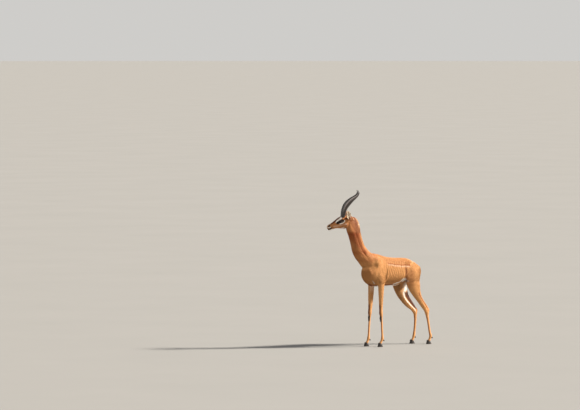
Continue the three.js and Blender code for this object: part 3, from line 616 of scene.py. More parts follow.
def almond(grow=0.0, count=48):
    # the lids' opening: across and up, from its upper arc to its lower one
    half, rise = eye["length"] / 2 + grow, eye["height"] / 2 + grow
    t = np.linspace(0, 1, count // 2, endpoint=False)[:, None]
    arcs = []
    for shape in eye["arcs"]:
        a, b, c, d = np.array(shape) * [half, rise]
        arcs.append((1 - t) ** 3 * a + 3 * (1 - t) ** 2 * t * b + 3 * (1 - t) * t**2 * c + t**3 * d)
    return np.vstack(arcs)


def almondDistance(across, up):
    # how far outside the lids' opening a place is, less than nothing inside
    outline = almond()
    spot = np.stack([across, up], 1)
    best = np.full(len(spot), 1e9)
    inside = np.zeros(len(spot), bool)
    for a, b in zip(outline, np.roll(outline, -1, 0)):
        step = b - a
        t = np.clip(((spot - a) @ step) / (step @ step), 0, 1)
        best = np.minimum(best, np.linalg.norm(spot - a - t[:, None] * step, axis=1))
        crosses = (a[1] > spot[:, 1]) != (b[1] > spot[:, 1])
        at = a[0] + (spot[:, 1] - a[1]) / (b[1] - a[1] + 1e-12) * step[0]
        inside ^= crosses & (spot[:, 0] < at)
    return np.where(inside, -best, best)


# Skin: trunk, neck and legs

skin = {"voxel": 4.0, "blend": 34, "trunkDepth": 1.8, "neckDepth": 1.5, "tailDepth": 1.2, "headDepth": 1.0}
ribs = {"high": 1.3, "apart": 24, "slant": 0.32}

# Relief on the body: a line, how wide, how high; mirrored to both sides
bodyLines = [
    [[[-6, 96, 948], [22, 104, 880], [52, 100, 800]], 13, 3.0],  # edge of the shoulder blade
    [[[-62, 104, 930], [-84, 110, 850], [-84, 108, 790], [-64, 104, 690]], 9, -4.5],  # behind the shoulder
    [[[-92, 108, 800], [-88, 104, 740], [-80, 96, 690]], 8, 4.0],  # fold behind the elbow
    [[[52, 96, 845], [30, 104, 790], [-10, 108, 735]], 14, -1.6],  # between shoulder and upper arm
    [[[-290, 104, 725], [-330, 98, 692], [-362, 92, 668]], 12, 4.0],  # fold of the flank
    [[[-318, 104, 905], [-326, 110, 860], [-330, 110, 800], [-328, 106, 750], [-334, 100, 712]],
     12, -7.0],  # flank
    [[[-350, 100, 890], [-358, 112, 820], [-360, 112, 760], [-362, 108, 715]], 14, 4.0],  # the thigh's edge
    [[[-470, 92, 890], [-500, 104, 800], [-512, 100, 700], [-520, 92, 620]], 9, -2.6],  # in the thigh
    [[[-400, 96, 880], [-440, 112, 780], [-430, 112, 690]], 34, 3.0],  # the thigh's mass
    [[[300, 36, 1310], [262, 44, 1200], [232, 46, 1110], [190, 52, 1030], [128, 62, 950]],
     10, -3.2],  # neck groove
    [[[270, 44, 1330], [226, 46, 1220], [190, 48, 1110], [140, 60, 1020]], 16, 2.2],  # upper neck muscle
    [[[150, 30, 940], [140, 34, 860], [120, 34, 790]], 12, -2.6],  # middle of the chest
]


def bodyRelief(points, normals):
    x, _, z = points.T
    ribbed = zones(x=x, z=z)(x=(-330, -290, -100, -60), z=(690, 730, 880, 930)) * np.abs(normals[:, 1])
    wave = np.sin((x + ribs["slant"] * (z - 800)) / ribs["apart"] * 2 * np.pi)
    return relief(points, bodyLines) + ribs["high"] * ribbed * wave


def cannonRelief(points, normals):
    # grooves between bone and tendons on the lower legs
    height = np.zeros(len(points))
    for _, _, side, name in legs:
        x = points[:, 0] - legLine(name, points[:, 2])
        near = (np.abs(x) < 40) & (points[:, 1] * side > 20)
        band = ramp(points[:, 2], 100, 130) * ramp(points[:, 2], 325, 295)
        groove = hump(x, -3.5, 2.6) * ramp(np.abs(normals[:, 1]), 0.5, 0.9)
        height -= np.where(near, 1.7 * band * groove, 0)
    return height


def makeBody():
    parts = [tube(full(trunkRows, "sections"), [0, 0, 1], [-1, 0, 0], 72, 5, skin["trunkDepth"]),
             tube(full(neckRows, "line"), [1, 0, 0], None, 60, 6, skin["neckDepth"])]
    parts += [tube(legTable(pair, side, name), [1, 0, 0], [0, 0, -1], 40, 5, "coat")
              for pair, _, side, name in legs]
    parts += [bulge(row, side, skin["trunkDepth"]) for row in bulges for side in sides.values()]
    parts.append(tube(full(tailRows, "line"), [1, 0, 0], None, 24, 5, skin["tailDepth"]))
    points, triangles = remeshed(parts, skin["voxel"])
    print("body remeshed:", len(points), "points")
    points = smoothed(points, triangles, 6)
    upper = ramp(points[:, 2], 560, 680) * (1 - 0.8 * ramp(points[:, 2], 1180, 1260))
    upper = upper * ramp(points[:, 0], -578, -560)
    points = blended(points, triangles, skin["blend"], upper)
    for carved in (bodyRelief, cannonRelief):
        normals = normalsOf(points, triangles)
        points = points + normals * carved(points, normals)[:, None]
    return points, [triangles]


# Skin: head, with lids, mouth, nostrils and tear glands

faceLines = [  # line in the head's side view: forward, across, up; how wide; how high
    [[[70, 26, 22], [110, 18, 24], [140, 14, 24]], 7, 1.0],  # edge of the nose bone
    [[[92, 26, -8], [60, 35, -12], [26, 42, -22], [-10, 46, -26]], 6, 2.0],  # ridge of the cheek
    [[[110, 22, -20], [70, 30, -30], [30, 38, -44], [-6, 42, -62]], 7, -1.8],  # hollow above the jaw
    [[[22, 44, 20], [0, 50, 26], [-22, 47, 22]], 5, 1.6],  # rim of the brow
    [[[24, 40, -14], [4, 48, -20], [-20, 48, -16]], 3.2, -1.2],  # fold under the eye
    [[[-60, 42, 10], [-74, 40, -20], [-80, 36, -50]], 9, -2.5],  # behind the jaw
    [[[150, 19, -3], [130, 21, -4], [114, 22, -3]], 4, 1.0],  # upper lip
    [[[160, 15, -20], [140, 18, -21], [120, 20, -17]], 4, 0.9],  # lower lip
]
mouthCut = {"thick": 1.7, "deep": 2.6, "ends": [0.8, 0.5, 0.2]}
pits = [  # cut into both sides of the face: middle, half sizes, turns about x, y, z
    [[157, 19, 18], [11, 6, 3.4], [0, -0.55, -0.35]],  # nostril
    [[43, 40.5, 4], [10, 4.5, 2.4], [0, 0.1, -0.3]],  # tear gland
]


def mouthSlab():
    fine = between(mouthLine, [0, 24, 48, 72], 6)
    ends = mouthCut["ends"]
    spread = mouthCut["thick"] / 2 * np.concatenate([np.ones(len(fine) - len(ends)), ends])
    shift = np.stack([np.zeros(len(fine)), spread], 1)
    return slab(np.vstack([fine + shift, (fine - shift)[::-1]]), -60, 60)


def skull(depth):
    return tube(full(headRows, "sections"), [0, 0, 1], [-1, 0, 0], 64, 5, depth)


def lidCutter(side):
    # the almond, drawn out from the middle of the eye
    outline = almond()
    return prism(np.vstack([onEye(np.column_stack([np.full(len(outline), out), outline]), side)
                            for out in (0, 40)]), side > 0)


def makeHead():
    parts = [skull(skin["headDepth"])]
    for side in sides.values():
        parts += [bulge(row, side, skin["headDepth"]) for row in headBulges]
        parts.append(fineBall(eye["radius"] + eye["lid"], eyeAt(side)))
    points, triangles = remeshed(parts, head["voxel"])
    print("head remeshed:", len(points), "points")
    points = smoothed(points, triangles, 5)
    nearEye = np.minimum(*[np.linalg.norm(points - eyeAt(side), axis=1) for side in sides.values()])
    blend = ramp(nearEye, 20, 32) * ramp(points[:, 0], 172, 150) + 0.25
    points = blended(points, triangles, 26, np.minimum(blend, 1))
    points = points + normalsOf(points, triangles) * relief(points, faceLines)[:, None]
    cutters = [combined(mouthSlab(), skull(skin["headDepth"] + mouthCut["deep"]), "DIFFERENCE")]
    for side in sides.values():
        cutters += [fineBall(eye["radius"] + 0.3, eyeAt(side)), lidCutter(side)]
        for at, size, turn in pits:
            cutters.append(egg(np.array(at) * [1, side, 1], size, (0, turn[1], turn[2] * side), 24))
    made = points, [triangles]
    for cutter in cutters:
        made = combined(made, cutter, "DIFFERENCE")
    points, (triangles,) = made
    return onHead(smoothed(points, triangles, 1)), [triangles]


def earRoll(side):
    # both faces of the ear, closed along its rims, foot and tip
    rows = between(earRows, np.array(earRows)[:, 0], ear["rings"])
    share, half, roll, wall = rows.T
    angle = np.radians(roll)
    radius = half / angle
    back = earBend(share)
    k = np.arange(-ear["turns"], ear["turns"] + 1) / ear["turns"]
    a = angle[:, None] * k[None]
    thin = (wall[:, None] * (1 - 0.45 * k[None] ** 2)) - ear["depth"]
    fold = 0.9 * np.cos(k * np.pi * 5)[None] * (ramp(share, 0.1, 0.3) * ramp(share, 0.95, 0.6))[:, None]
    shapes = []
    for out in (1, -1):
        r = np.maximum(radius[:, None] + out * thin / 2 + (fold if out < 0 else 0), 0.8)
        x = back[:, None] + radius[:, None] - r * np.cos(a)
        z = np.broadcast_to(share[:, None] * ear["length"], x.shape)
        shapes.append(np.stack([x, r * np.sin(a) * side, z], -1).reshape(-1, 3))
    count, wide = a.shape
    sheet = count * wide  # from a point of the outer face to the same one of the inner
    i, j = np.meshgrid(np.arange(count - 1), np.arange(wide - 1), indexing="ij")
    o = (i * wide + j).ravel()
    n = o + sheet
    e, q = np.arange(count - 1) * wide, np.arange(wide - 1)
    far, top = e + wide - 1, (count - 1) * wide + q
    quads = [[o, o + wide, o + wide + 1, o + 1], [n, n + 1, n + wide + 1, n + wide],
             [e, e + sheet, e + sheet + wide, e + wide], [far, far + wide, far + sheet + wide, far + sheet],
             [q, q + 1, q + 1 + sheet, q + sheet], [top, top + sheet, top + sheet + 1, top + 1]]
    faces = [np.stack(quad, 1)[:, ::side] for quad in quads]
    axes, root = earFrame(side)
    return np.vstack(shapes) @ axes.T + root, faces


def soleCutter(pair, side, name):
    # everything under the hooves' upper edge, which slants down to the heel
    x, y = footAt(pair, side, name)
    rise = (foot["coronetFront"] - foot["coronetBack"]) / foot["run"]
    heel, toe = (foot["coronetBack"] + (dx + foot["heel"]) * rise for dx in (-90, 90))
    return slab([[x - 90, heel], [x - 90, -50], [x + 90, -50], [x + 90, toe]], y - 45, y + 45)


def makeSkin():
    made = combined(makeBody(), makeHead(), "UNION")
    for side in sides.values():
        made = combined(made, earRoll(side), "UNION")
    for pair, _, side, name in legs:
        made = combined(made, soleCutter(pair, side, name), "DIFFERENCE")
    points, (triangles,) = made
    seam = ramp(fromHead(points)[:, 0], -48, -75) * ramp(points[:, 2], 1215, 1250)
    for side in sides.values():
        axes, root = earFrame(side)
        share = ((points - root) @ axes)[:, 2] / ear["length"]
        offRoot = np.linalg.norm(points - root, axis=1)
        seam = seam * (1 - ramp(share, 0.16, 0.26) * ramp(offRoot, 130, 100))
    return smoothed(points, triangles, 30, seam, hold=False), triangles


skinPoints, skinTriangles = makeSkin()
skinNormals = normalsOf(skinPoints, skinTriangles)
print("skin:", len(skinTriangles), "triangles")


# Marks of the coat, the same for skin and hair: how white, how black, how red and how bare each place is

saddle = {"front": -24, "rear": -386, "depth": 74, "red": 0.26, "line": 0.75, "lineWide": 4.5,
          "pale": 0.2, "paleWide": 7, "fade": 16, "corner": [-374, 69, 11, 6]}
stripe = [  # the thigh's white stripe: height, how far before the leg's middle, half width
    [340, -0.05, 0.09],
    [420, -0.0278, 0.1],
    [520, 0.0, 0.12],
    [560, -0.25, 0.2],
    [600, -0.66, 0.3],
    [700, -0.8, 0.3],
]
face = {
    "red": 0.46,
    "blaze": [[-90, 30], [-30, 28], [20, 27], [70, 19], [110, 12], [150, 8]],  # forward, half width
    "blazeBlack": [[-100, 0.3], [-20, 0.5], [60, 0.55], [120, 0.42]],
    "top": [[-60, 60], [-10, 56], [12, 51], [33, 46], [50, 41], [66, 33], [92, 31], [130, 24]],  # forward, up
    "patch": [[-2, 15], [28, 15.5], [60, 14]],  # the black round the eye: forward, up
    "patchSize": [15, 16.5, 13],
    "above": [[-12, 50], [12, 45], [33, 40], [50, 35], [66, 26]],  # the white line over it
    "aboveWhite": [0.85, 1.0, 0.8, 0.8, 1.0, 1.0],
    "below": [[-18, 5], [-8, -3], [8, -6], [22, -5], [36, -3]],
    "temple": [[-34, 24], [-48, 22]],
    "furAndEarShadow": [[-48, 12], [-100, 3]],
    "upperLip": [[169, 13, 14], [160, 19, 7], [146, 20, 2]],  # forward, across, up, and so to the end
    "cheek": [[108, 24, -4], [70, 32, -16], [20, 44, -30], [-20, 47, -34]],
    "corner": [[172, 10, -8], [158, 16, -9], [139, 19, -8]],
    "nose": [[181, 3, -3], [178, 6, 10]],
    "slit": [[158, 17, 18], [147, 18, 23]],
    "rimWide": 2.6,
}


class Marks:
    # the four marks of many places, laid one over the other
    def __init__(self, count, red=0.0):
        self.white, self.black, self.bare = np.zeros(count), np.zeros(count), np.zeros(count)
        self.red = np.full(count, red)

    def lay(self, **marks):
        for name, amount in marks.items():
            setattr(self, name, np.maximum(getattr(self, name), amount))

    def add(self, **marks):
        for name, amount in marks.items():
            setattr(self, name, getattr(self, name) + amount)

    def clear(self, **marks):
        for name, amount in marks.items():
            setattr(self, name, getattr(self, name) * (1 - amount))

    def turn(self, share, **marks):
        for name, amount in marks.items():
            setattr(self, name, getattr(self, name) * (1 - share) + amount * share)


def earPlace(points, side):
    # share of an ear's length, how far round its roll from -1 to 1, how far off its sheet, and if it is near
    axes, root = earFrame(side)
    local = (points - root) @ axes
    share = local[:, 2] / ear["length"]
    half, roll = readRows(earRows, 0, share, 1, 2)
    angle = np.radians(roll)
    radius = half / angle
    middle = earBend(share) + radius
    away = np.hypot(local[:, 0] - middle, local[:, 1])
    turned = np.arctan2(local[:, 1] * side, middle - local[:, 0]) / angle
    near = (share > 0.0) & (share < 1.05) & (np.abs(away - radius) < 9) & (np.abs(turned) < 1.3)
    return share, turned, away - radius, near


def bodyMarks(points, normals):
    x, y, z = points.T
    nx, ny, nz = normals.T
    inner = -ny * np.sign(y)
    below = readRows(trunkRows, 0, x, 1)[0] - z
    before = legPlace(points)
    aside = np.abs(y)
    foreLeg = x > legsPart
    hindLeg = ~foreLeg
    zone = zones(x=x, z=z, nx=nx, nz=nz, inner=inner, below=below, before=before, aside=aside)
    marks = Marks(len(x))

    # the saddle, darker along its lower edge and in its rear corner, and paler under it
    down = below + 2 * np.sin(x / 37) + 1.5 * np.sin(x / 13 + 1)
    start, depth, fade = saddle["front"] - down, saddle["depth"], saddle["fade"]
    spread = ramp(x, start + fade, start - fade) * ramp(x, saddle["rear"] - 8, saddle["rear"] + 6)
    marks.add(red=saddle["red"] * spread * ramp(down, depth + 5, depth - 5))
    marks.add(red=saddle["line"] * spread * hump(down, depth - 2, saddle["lineWide"]))
    cornerX, cornerDown, long, high = saddle["corner"]
    marks.add(red=hump(x, cornerX, long) * hump(down, cornerDown, high))
    marks.add(white=saddle["pale"] * spread * hump(down, depth + 11, saddle["paleWide"]))

    # redder withers; a redder neck, chest and thigh front, partly their own colour and partly painted shade
    # where they turn from the key light; and a paler top of the rump
    marks.add(red=0.4 * zone(x=(-60, 30), below=(70, 20), z=(900, 940, 1010, 1060)))
    # painted shade: the neck redder except where it faces back towards the key light
    marks.add(red=0.56 * zone(z=(960, 1060), nx=(-0.5, -0.1)))
    # painted shade on the upper neck, except along its back
    marks.add(red=0.16 * zone(z=(1150, 1250), nx=(-0.75, -0.5)))
    # chest redder, partly its own colour and partly painted shade
    marks.add(red=0.25 * zone(x=(30, 130), z=(980, 900)))
    marks.add(white=0.14 * zone(x=(-400, -440), z=(880, 930)))
    # outer front of the thigh redder, partly its own colour and partly painted shade
    marks.add(red=0.3 * zone(x=(-450, -405, -350, -330), z=(600, 660, 800, 850), inner=(0.1, -0.3)))

    # white belly with a dark red edge of painted shade along its lower side, white behind the elbow and in
    # the armpit
    marks.lay(white=zone(nz=(-0.84, -0.97), z=(560, 620, 740, 800), x=(60, 10)))
    # painted shade: dark red along the belly's lower edge
    bellyEdgeShade = zone(nz=(-0.98, -0.9, -0.82, -0.66), z=(640, 670, 740, 780), x=(-255, -225, 90, 120))
    marks.lay(red=0.9 * bellyEdgeShade, black=0.25 * bellyEdgeShade)
    streak, _ = lineDistance(np.stack([x, aside, z], 1), [[80, 60, 722], [60, 66, 700], [38, 72, 679]])
    marks.lay(white=0.7 * ramp(streak, 16, 4) * ramp(np.abs(x + (722 - z) - 80), 9, 3))
    marks.lay(white=0.25 * foreLeg * zone(inner=(0.5, 0.85), z=(560, 640, 690, 730)))

    # the inside of the hind legs: a white stripe on grey painted shade, white groin and flank edge, white
    # rump
    middle, wide = readRows(stripe, 0, z, 1, 2)
    marks.lay(white=hindLeg * hump(before, middle, wide) * zone(inner=(0.0, 0.4), z=(330, 372, 640, 690)))
    # painted shade on the front of the hind legs' inner sides
    marks.lay(black=0.36 * hindLeg * zone(inner=(0.1, 0.6), z=(380, 440, 690, 740), before=(0.0, 0.3)))
    marks.lay(white=zone(z=(676, 700, 722, 742), x=(-440, -400, -330, -290), nz=(-0.05, -0.4)))
    edge, _ = lineDistance(np.stack([x, z], 1), [[-200, 668], [-262, 690], [-312, 730]])
    marks.lay(white=0.9 * ramp(edge, 9, 5) * zone(aside=(30, 50)))
    marks.lay(white=zone(x=(-515, -540), aside=(13, 20, 35, 47), z=(640, 690, 850, 872)))
    marks.lay(white=0.8 * zone(x=(-480, -520), inner=(-0.5, 0.0), z=(560, 620, 700, 760)))

    # dark knee brush, and red above it on the front of the leg, partly painted shade
    marks.lay(black=0.85 * foreLeg * zone(z=(258, 276, 320, 338), nx=(0.3, 0.75)))
    # painted shade on the forward-facing front above the knee, darkened with red and black
    above = foreLeg * zone(z=(300, 335, 430, 475), nx=(0.35, 0.8))
    marks.lay(red=0.9 * above, black=0.4 * above)

    # painted shade in the hollow before the hock's tendon, painted shadow in the cleft of the flank, and
    # painted shade along the flank's fold
    hollowShade = hump(before, -0.42, 0.15)
    hollowShade = np.where(inner > -0.15, np.maximum(hollowShade, ramp(before, -0.25, -0.42)), hollowShade)
    hollowShade = hollowShade * hindLeg * zone(z=(350, 400, 550, 585))
    marks.lay(red=0.9 * hollowShade, black=hollowShade * np.where(inner > 0, 0.72, 0.3))
    marks.clear(white=0.8 * hollowShade)
    # painted shadow in the cleft where the flank fold meets the thigh
    cleftShadow = hump(x, -350, 9) * hump(z, 702, 13) * zone(aside=(30, 45)) * (inner > -0.75)
    marks.lay(black=0.85 * cleftShadow)
    # painted shade along the fold between flank and thigh
    fold = hump(x - 0.1 * (z - 780), -340, 7) * zone(z=(690, 720, 840, 880), aside=(50, 70))
    marks.lay(red=0.8 * fold, black=0.2 * fold)
    marks.clear(white=cleftShadow)

    # red fronts of the shins, partly their own colour and partly painted shade; dark edge over the hooves and
    # dark pasterns behind
    # painted shade: red on the forward-facing, unlit fronts of the shins
    marks.lay(red=0.6 * zone(z=(70, 110, 290, 330), nx=(0.1, 0.7)))
    marks.lay(black=np.maximum(0.6 * zone(z=(46, 34)), 0.55 * zone(z=(44, 58, 84, 100), nx=(-0.2, -0.8))))
    return marks


def faceMarks(points, normals):
    local = fromHead(points)
    f, _, h = local.T
    up = (normals @ headAxes)[:, 2]
    side = np.abs(local[:, 1])
    zone = zones(f=f, h=h, up=up, side=side)
    profile, spots = np.stack([f, h], 1), np.stack([f, side, h], 1)
    beside = zone(side=(12, 18))
    marks = Marks(len(f), face["red"])

    def near(name, far, close):
        line = np.array(face[name])
        away, _ = lineDistance(profile if line.shape[1] == 2 else spots, line)
        return ramp(away, far, close)

    # dark red forehead and nose
    wide = np.interp(f, *np.array(face["blaze"]).T)
    blaze = ramp(side, wide + 4, wide - 4) * zone(up=(-0.1, 0.25), f=(-120, -95, 118, 150))
    top = np.interp(f, *np.array(face["top"]).T)
    blaze = np.maximum(blaze, ramp(h - top, -3, 2) * zone(f=(-40, -20, 118, 150)))
    marks.lay(red=blaze, black=blaze * np.interp(f, *np.array(face["blazeBlack"]).T))

    # white lines over and under the eye, painted shade under the brow, and a darker temple and cheek behind
    # the eye, partly dark fur and partly painted shadow of the ear
    _, part = lineDistance(profile, face["above"])
    shares = np.linspace(0, 1, len(face["aboveWhite"]))
    band = near("above", 10, 6) * np.interp(part, shares, face["aboveWhite"]) * beside
    lines = np.maximum(band, near("below", 9, 5) * 0.85 * beside)
    marks.lay(white=lines)
    marks.clear(red=0.7 * lines, black=band)
    marks.lay(black=0.55 * ramp(np.abs(f - 1), 18, 8) * zone(h=(27, 31, 39, 43)) * beside * (1 - band))
    # temple and the patch behind it: partly dark fur, partly painted shadow of the ear
    temple, furAndEarShadow = near("temple", 13, 6), near("furAndEarShadow", 17, 8)
    marks.lay(red=np.maximum(temple, 0.75 * furAndEarShadow), black=np.maximum(0.55 * temple, 0.25 * furAndEarShadow))

    # black round the eye, and the lids' rim
    patch, part = lineDistance(profile, face["patch"])
    size = np.interp(part, np.linspace(0, 1, len(face["patchSize"])), face["patchSize"])
    dark = ramp(patch - size, 1.5, -1.5) * beside
    marks.lay(black=0.97 * dark)
    marks.clear(white=dark)
    nearest = np.full(len(f), 99.0)
    for s in sides.values():
        spot = fromEye(local, s)
        here = (local[:, 1] * s > 8) & (spot[:, 0] > 4)
        nearest = np.minimum(nearest, np.where(here, almondDistance(spot[:, 1], spot[:, 2]), 99))
    rim = ramp(nearest, face["rimWide"] + 1, face["rimWide"] - 1)
    marks.lay(black=rim)
    marks.clear(white=rim)

    # pale lips, chin, throat and jaw, dark corner of the mouth and bare nose
    marks.lay(white=0.75 * near("upperLip", 8, 4))
    marks.lay(white=0.8 * zone(h=(-17, -22), f=(118, 142)))
    marks.lay(white=0.6 * zone(up=(-0.6, -0.95), f=(-60, -20, 100, 130)))
    marks.lay(white=0.2 * near("cheek", 12, 3))
    marks.lay(white=0.4 * zone(h=(-49, -54), f=(0, 20, 60, 90)))
    marks.lay(black=0.3 * hump(h, -46, 3.5) * zone(f=(0, 20, 60, 80)))
    corner = near("corner", 10, 6)
    marks.lay(black=0.95 * corner)
    marks.clear(white=corner)
    bare = np.maximum(near("nose", 8, 5), near("slit", 9, 6))
    marks.lay(black=0.92 * bare)
    marks.clear(white=bare)
    muzzle = zone(f=(100, 140))
    marks.clear(red=0.4 * muzzle)
    marks.lay(black=0.2 * muzzle * (1 - marks.white))
    mouth = np.abs(h - np.interp(f, *np.array(mouthLine[::-1]).T))
    seam = ramp(mouth, 2.2, 1.0) * zone(f=(110, 118))
    marks.lay(black=seam)
    marks.clear(white=seam)
    marks.lay(bare=np.maximum(bare, np.maximum(rim, seam)))
    return marks


def marksAt(points, normals):
    marks = bodyMarks(points, normals)
    local = fromHead(points)
    x, y, z = points.T
    onFace = ramp(local[:, 0], -128, -98) * ramp(z, 1225, 1265)
    some = onFace > 0
    t = onFace[some]
    for name, amount in vars(faceMarks(points[some], normals[some])).items():
        getattr(marks, name)[some] = getattr(marks, name)[some] * (1 - t) + amount * t

    # a painted, speckled glint of light on the nape, and painted shade on the neck's sides under the head
    zone = zones(z=z, behind=local[:, 0], nx=normals[:, 0])
    # painted glint of sunlight on the nape
    napeGlint = zone(z=(1272, 1315), behind=(-58, -78), nx=(-0.25, -0.5))
    speckle = 0.5 + 0.25 * (np.sin(z / 3.3 + y / 5.1) + np.sin(y / 3.9 - z / 4.7 + x / 5.3))
    # painted highlight: whiter where the nape turns back towards the key light
    pale = np.interp(-normals[:, 0], [0.5, 0.7, 0.85], [0.1, 0.3, 0.5])
    marks.turn(napeGlint, white=pale * (0.55 + 0.75 * speckle), red=0.25 * (1 - speckle))
    # painted shade on the neck's sides under the head
    neckSideShade = zone(z=(1222, 1246), behind=(-50, -75)) * (1 - napeGlint)
    marks.lay(red=0.7 * neckSideShade, black=0.3 * neckSideShade)
    marks.clear(black=napeGlint)

    # white inside the ears, partly their own white and partly painted glow of light through them, with darker
    # branching streaks, a dark edge, and duller fur behind
    for s in sides.values():
        share, k, off, near = earPlace(points, s)
        branch = hump(np.abs(k), 0.16 + 0.5 * share, 0.085)
        second = hump(np.abs(k), 0.02 + 0.12 * share, 0.05)
        streak = np.maximum(branch, 0.9 * second) * ramp(share, 0.12, 0.26) * ramp(share, 0.92, 0.7)
        fade = ramp(share, 0.08, 0.2) * near
        inside, outside = fade * (off < 0), fade * (off >= 0)
        # inner white pushed towards full white: partly painted glow of light through the ear
        marks.turn(inside, white=0.95 - 0.75 * streak, red=0.5 * streak, black=0.4 * streak)
        marks.turn(outside, red=0.25, white=0.14)
        edge = ramp(np.abs(k), 0.9, 1.0) * ramp(share, 0.3, 0.6) + ramp(share, 0.93, 1.0)
        marks.lay(black=0.5 * near * np.clip(edge, 0, 1))
    return np.clip(np.stack([marks.white, marks.black, marks.red, marks.bare], 1), 0, 1)


skinMarks = marksAt(skinPoints, skinNormals)
print("marks laid")


# The animal's place in the row's frame, from its trunk

trunkLow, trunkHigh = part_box("trunk")
place = np.array([trunkLow.x - trunkRows[-1][0] * mm, (trunkLow.y + trunkHigh.y) / 2, 0.0])
valueKinds = {1: ("FLOAT", "value"), 3: ("FLOAT_VECTOR", "vector"), 4: ("FLOAT_COLOR", "color")}


def piece(name, points, faces, slotName, material, nodes=(), **given):
    # given: what each point carries for the material, as one, three or four numbers
    made = meshObject(name, points, faces, mm, place)
    mesh = made.data
    mesh.polygons.foreach_set("use_smooth", np.ones(len(mesh.polygons), bool))
    mesh.materials.append(material)
    for key, values in given.items():
        kind, field = valueKinds[values.size // len(points)]
        data = mesh.attributes.new(key, kind, "POINT").data
        data.foreach_set(field, values.astype(np.float32).ravel())
    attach(made, "root")
    if nodes:
        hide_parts(*nodes)
    return made


# Shader tools

def linear(colour):
    return tuple((c / 255 / 12.92 if c <= 10 else ((c / 255 + 0.055) / 1.055) ** 2.4) for c in colour) + (1,)


class Value:
    # a node's output that can be used in sums like a number
    def __init__(self, sheet, socket):
        self.sheet, self.socket = sheet, socket

    def maths(self, operation, *values):
        return self.sheet.node("ShaderNodeMath", {"operation": operation}, dict(enumerate(values)))

    def __add__(self, other):
        return self.maths("ADD", self, other)

    def __radd__(self, other):
        return self.maths("ADD", other, self)

    def __sub__(self, other):
        return self.maths("SUBTRACT", self, other)

    def __rsub__(self, other):
        return self.maths("SUBTRACT", other, self)

    def __mul__(self, other):
        return self.maths("MULTIPLY", self, other)

    def __rmul__(self, other):
        return self.maths("MULTIPLY", other, self)

    def __pow__(self, other):
        return self.maths("POWER", self, other)

    def root(self):
        return self.maths("SQRT", self)

    def above(self, low, high):
        # 0 under low, 1 over high, smooth between; low may be the greater
        return self.sheet.node("ShaderNodeMapRange", {"interpolation_type": "SMOOTHSTEP"},
                               {"Value": self, "From Min": low, "From Max": high})


class Sheet:
    # one material's nodes
    def __init__(self, name, owner=None):
        self.material = owner or bpy.data.materials.new(name)
        self.material.use_nodes = True
        self.tree = self.material.node_tree
        self.tree.nodes.clear()

    def node(self, kind, settings=None, inputs=None, out=0):
        made = self.tree.nodes.new(kind)
        for name, value in (settings or {}).items():
            setattr(made, name, value)
        for key, value in (inputs or {}).items():
            if isinstance(value, Value):
                self.tree.links.new(value.socket, made.inputs[key])
            else:
                made.inputs[key].default_value = value
        return Value(self, made.outputs[out] if len(made.outputs) else None)

    def parts(self, kind, inputs):
        # every output of a node that takes something apart
        return [Value(self, socket) for socket in self.node(kind, inputs=inputs).socket.node.outputs]

    def mix(self, a, b, share):
        return self.node("ShaderNodeMix", {"data_type": "RGBA"}, {0: share, 6: a, 7: b}, 2)

    def attribute(self, name, out=2):
        return self.node("ShaderNodeAttribute", {"attribute_name": name}, out=out)

    def noise(self, scale, detail=3, rough=0.55, stretch=(1, 1, 1), seed=(0, 0, 0), where=None):
        if where is None:
            where = self.node("ShaderNodeVectorMath", {"operation": "MULTIPLY"},
                              {0: self.node("ShaderNodeTexCoord", out=3), 1: stretch})
        where = self.node("ShaderNodeVectorMath", {"operation": "ADD"}, {0: where, 1: seed})
        return self.node("ShaderNodeTexNoise", inputs={"Vector": where, "Scale": scale, "Detail": detail,
                                                       "Roughness": rough})

    def bump(self, height, strength, distance):
        return self.node("ShaderNodeBump", inputs={"Height": height, "Strength": strength,
                                                   "Distance": distance})

    def finish(self, colour, roughness, normal=None, **fixed):
        inputs = {"Base Color": colour, "Roughness": roughness}
        if normal is not None:
            inputs["Normal"] = normal
        for key, value in fixed.items():
            inputs[key.replace("_", " ")] = value
        shader = self.node("ShaderNodeBsdfPrincipled", inputs=inputs)
        self.node("ShaderNodeOutputMaterial", inputs={"Surface": shader})
        return self.material


coat = {
    "fawn": (192, 137, 83),
    "red": (140, 68, 28),
    "black": (20, 16, 15),
    "white": (246, 240, 228),
    "noseBlack": (22, 18, 18),
    "roughness": 0.62,
    "specular": 0.22,
}


def coatColour(sheet, tone):
    # the coat's colour from its marks, with patches and streaks a little lighter and darker
    white, black, red = sheet.parts("ShaderNodeSeparateColor", {"Color": sheet.attribute("marks", 0)})[:3]
    patches = sheet.noise(7, 3)
    fine = sheet.noise(90, 2, seed=(3, 1, 2))
    body = sheet.mix(linear(coat["fawn"]), linear(coat["red"]), red + 0.22 * (patches - 0.5))
    body = sheet.mix(body, linear(coat["white"]), white)
    body = sheet.mix(body, linear(coat["black"]), black)
    return sheet.mix((0, 0, 0, 1), body, 0.72 + 0.3 * tone + 0.22 * fine)


def coatSkinMaterial():
    sheet = Sheet("coatSkin")
    streaks = sheet.noise(60, 4, 0.7, (1, 6, 1))
    bare = sheet.attribute("marks", 3)
    colour = sheet.mix(coatColour(sheet, streaks), linear(coat["noseBlack"]), bare * 0.6)
    height = sheet.noise(900, 2, 0.5) * bare + sheet.noise(420, 3, 0.6) * (1 - bare)
    roughness = coat["roughness"] + 0.12 * (streaks - 0.5) - 0.3 * bare
    return sheet.finish(colour, roughness, sheet.bump(height, 0.5, 0.0012),
                        Specular_IOR_Level=coat["specular"])


def hairMaterial():
    sheet = Sheet("coatHair")
    tone = sheet.attribute("tone")
    return sheet.finish(coatColour(sheet, tone), coat["roughness"] - 0.06 + 0.12 * tone,
                        sheet.bump(sheet.noise(1500, 2), 0.3, 0.0004), Specular_IOR_Level=coat["specular"])


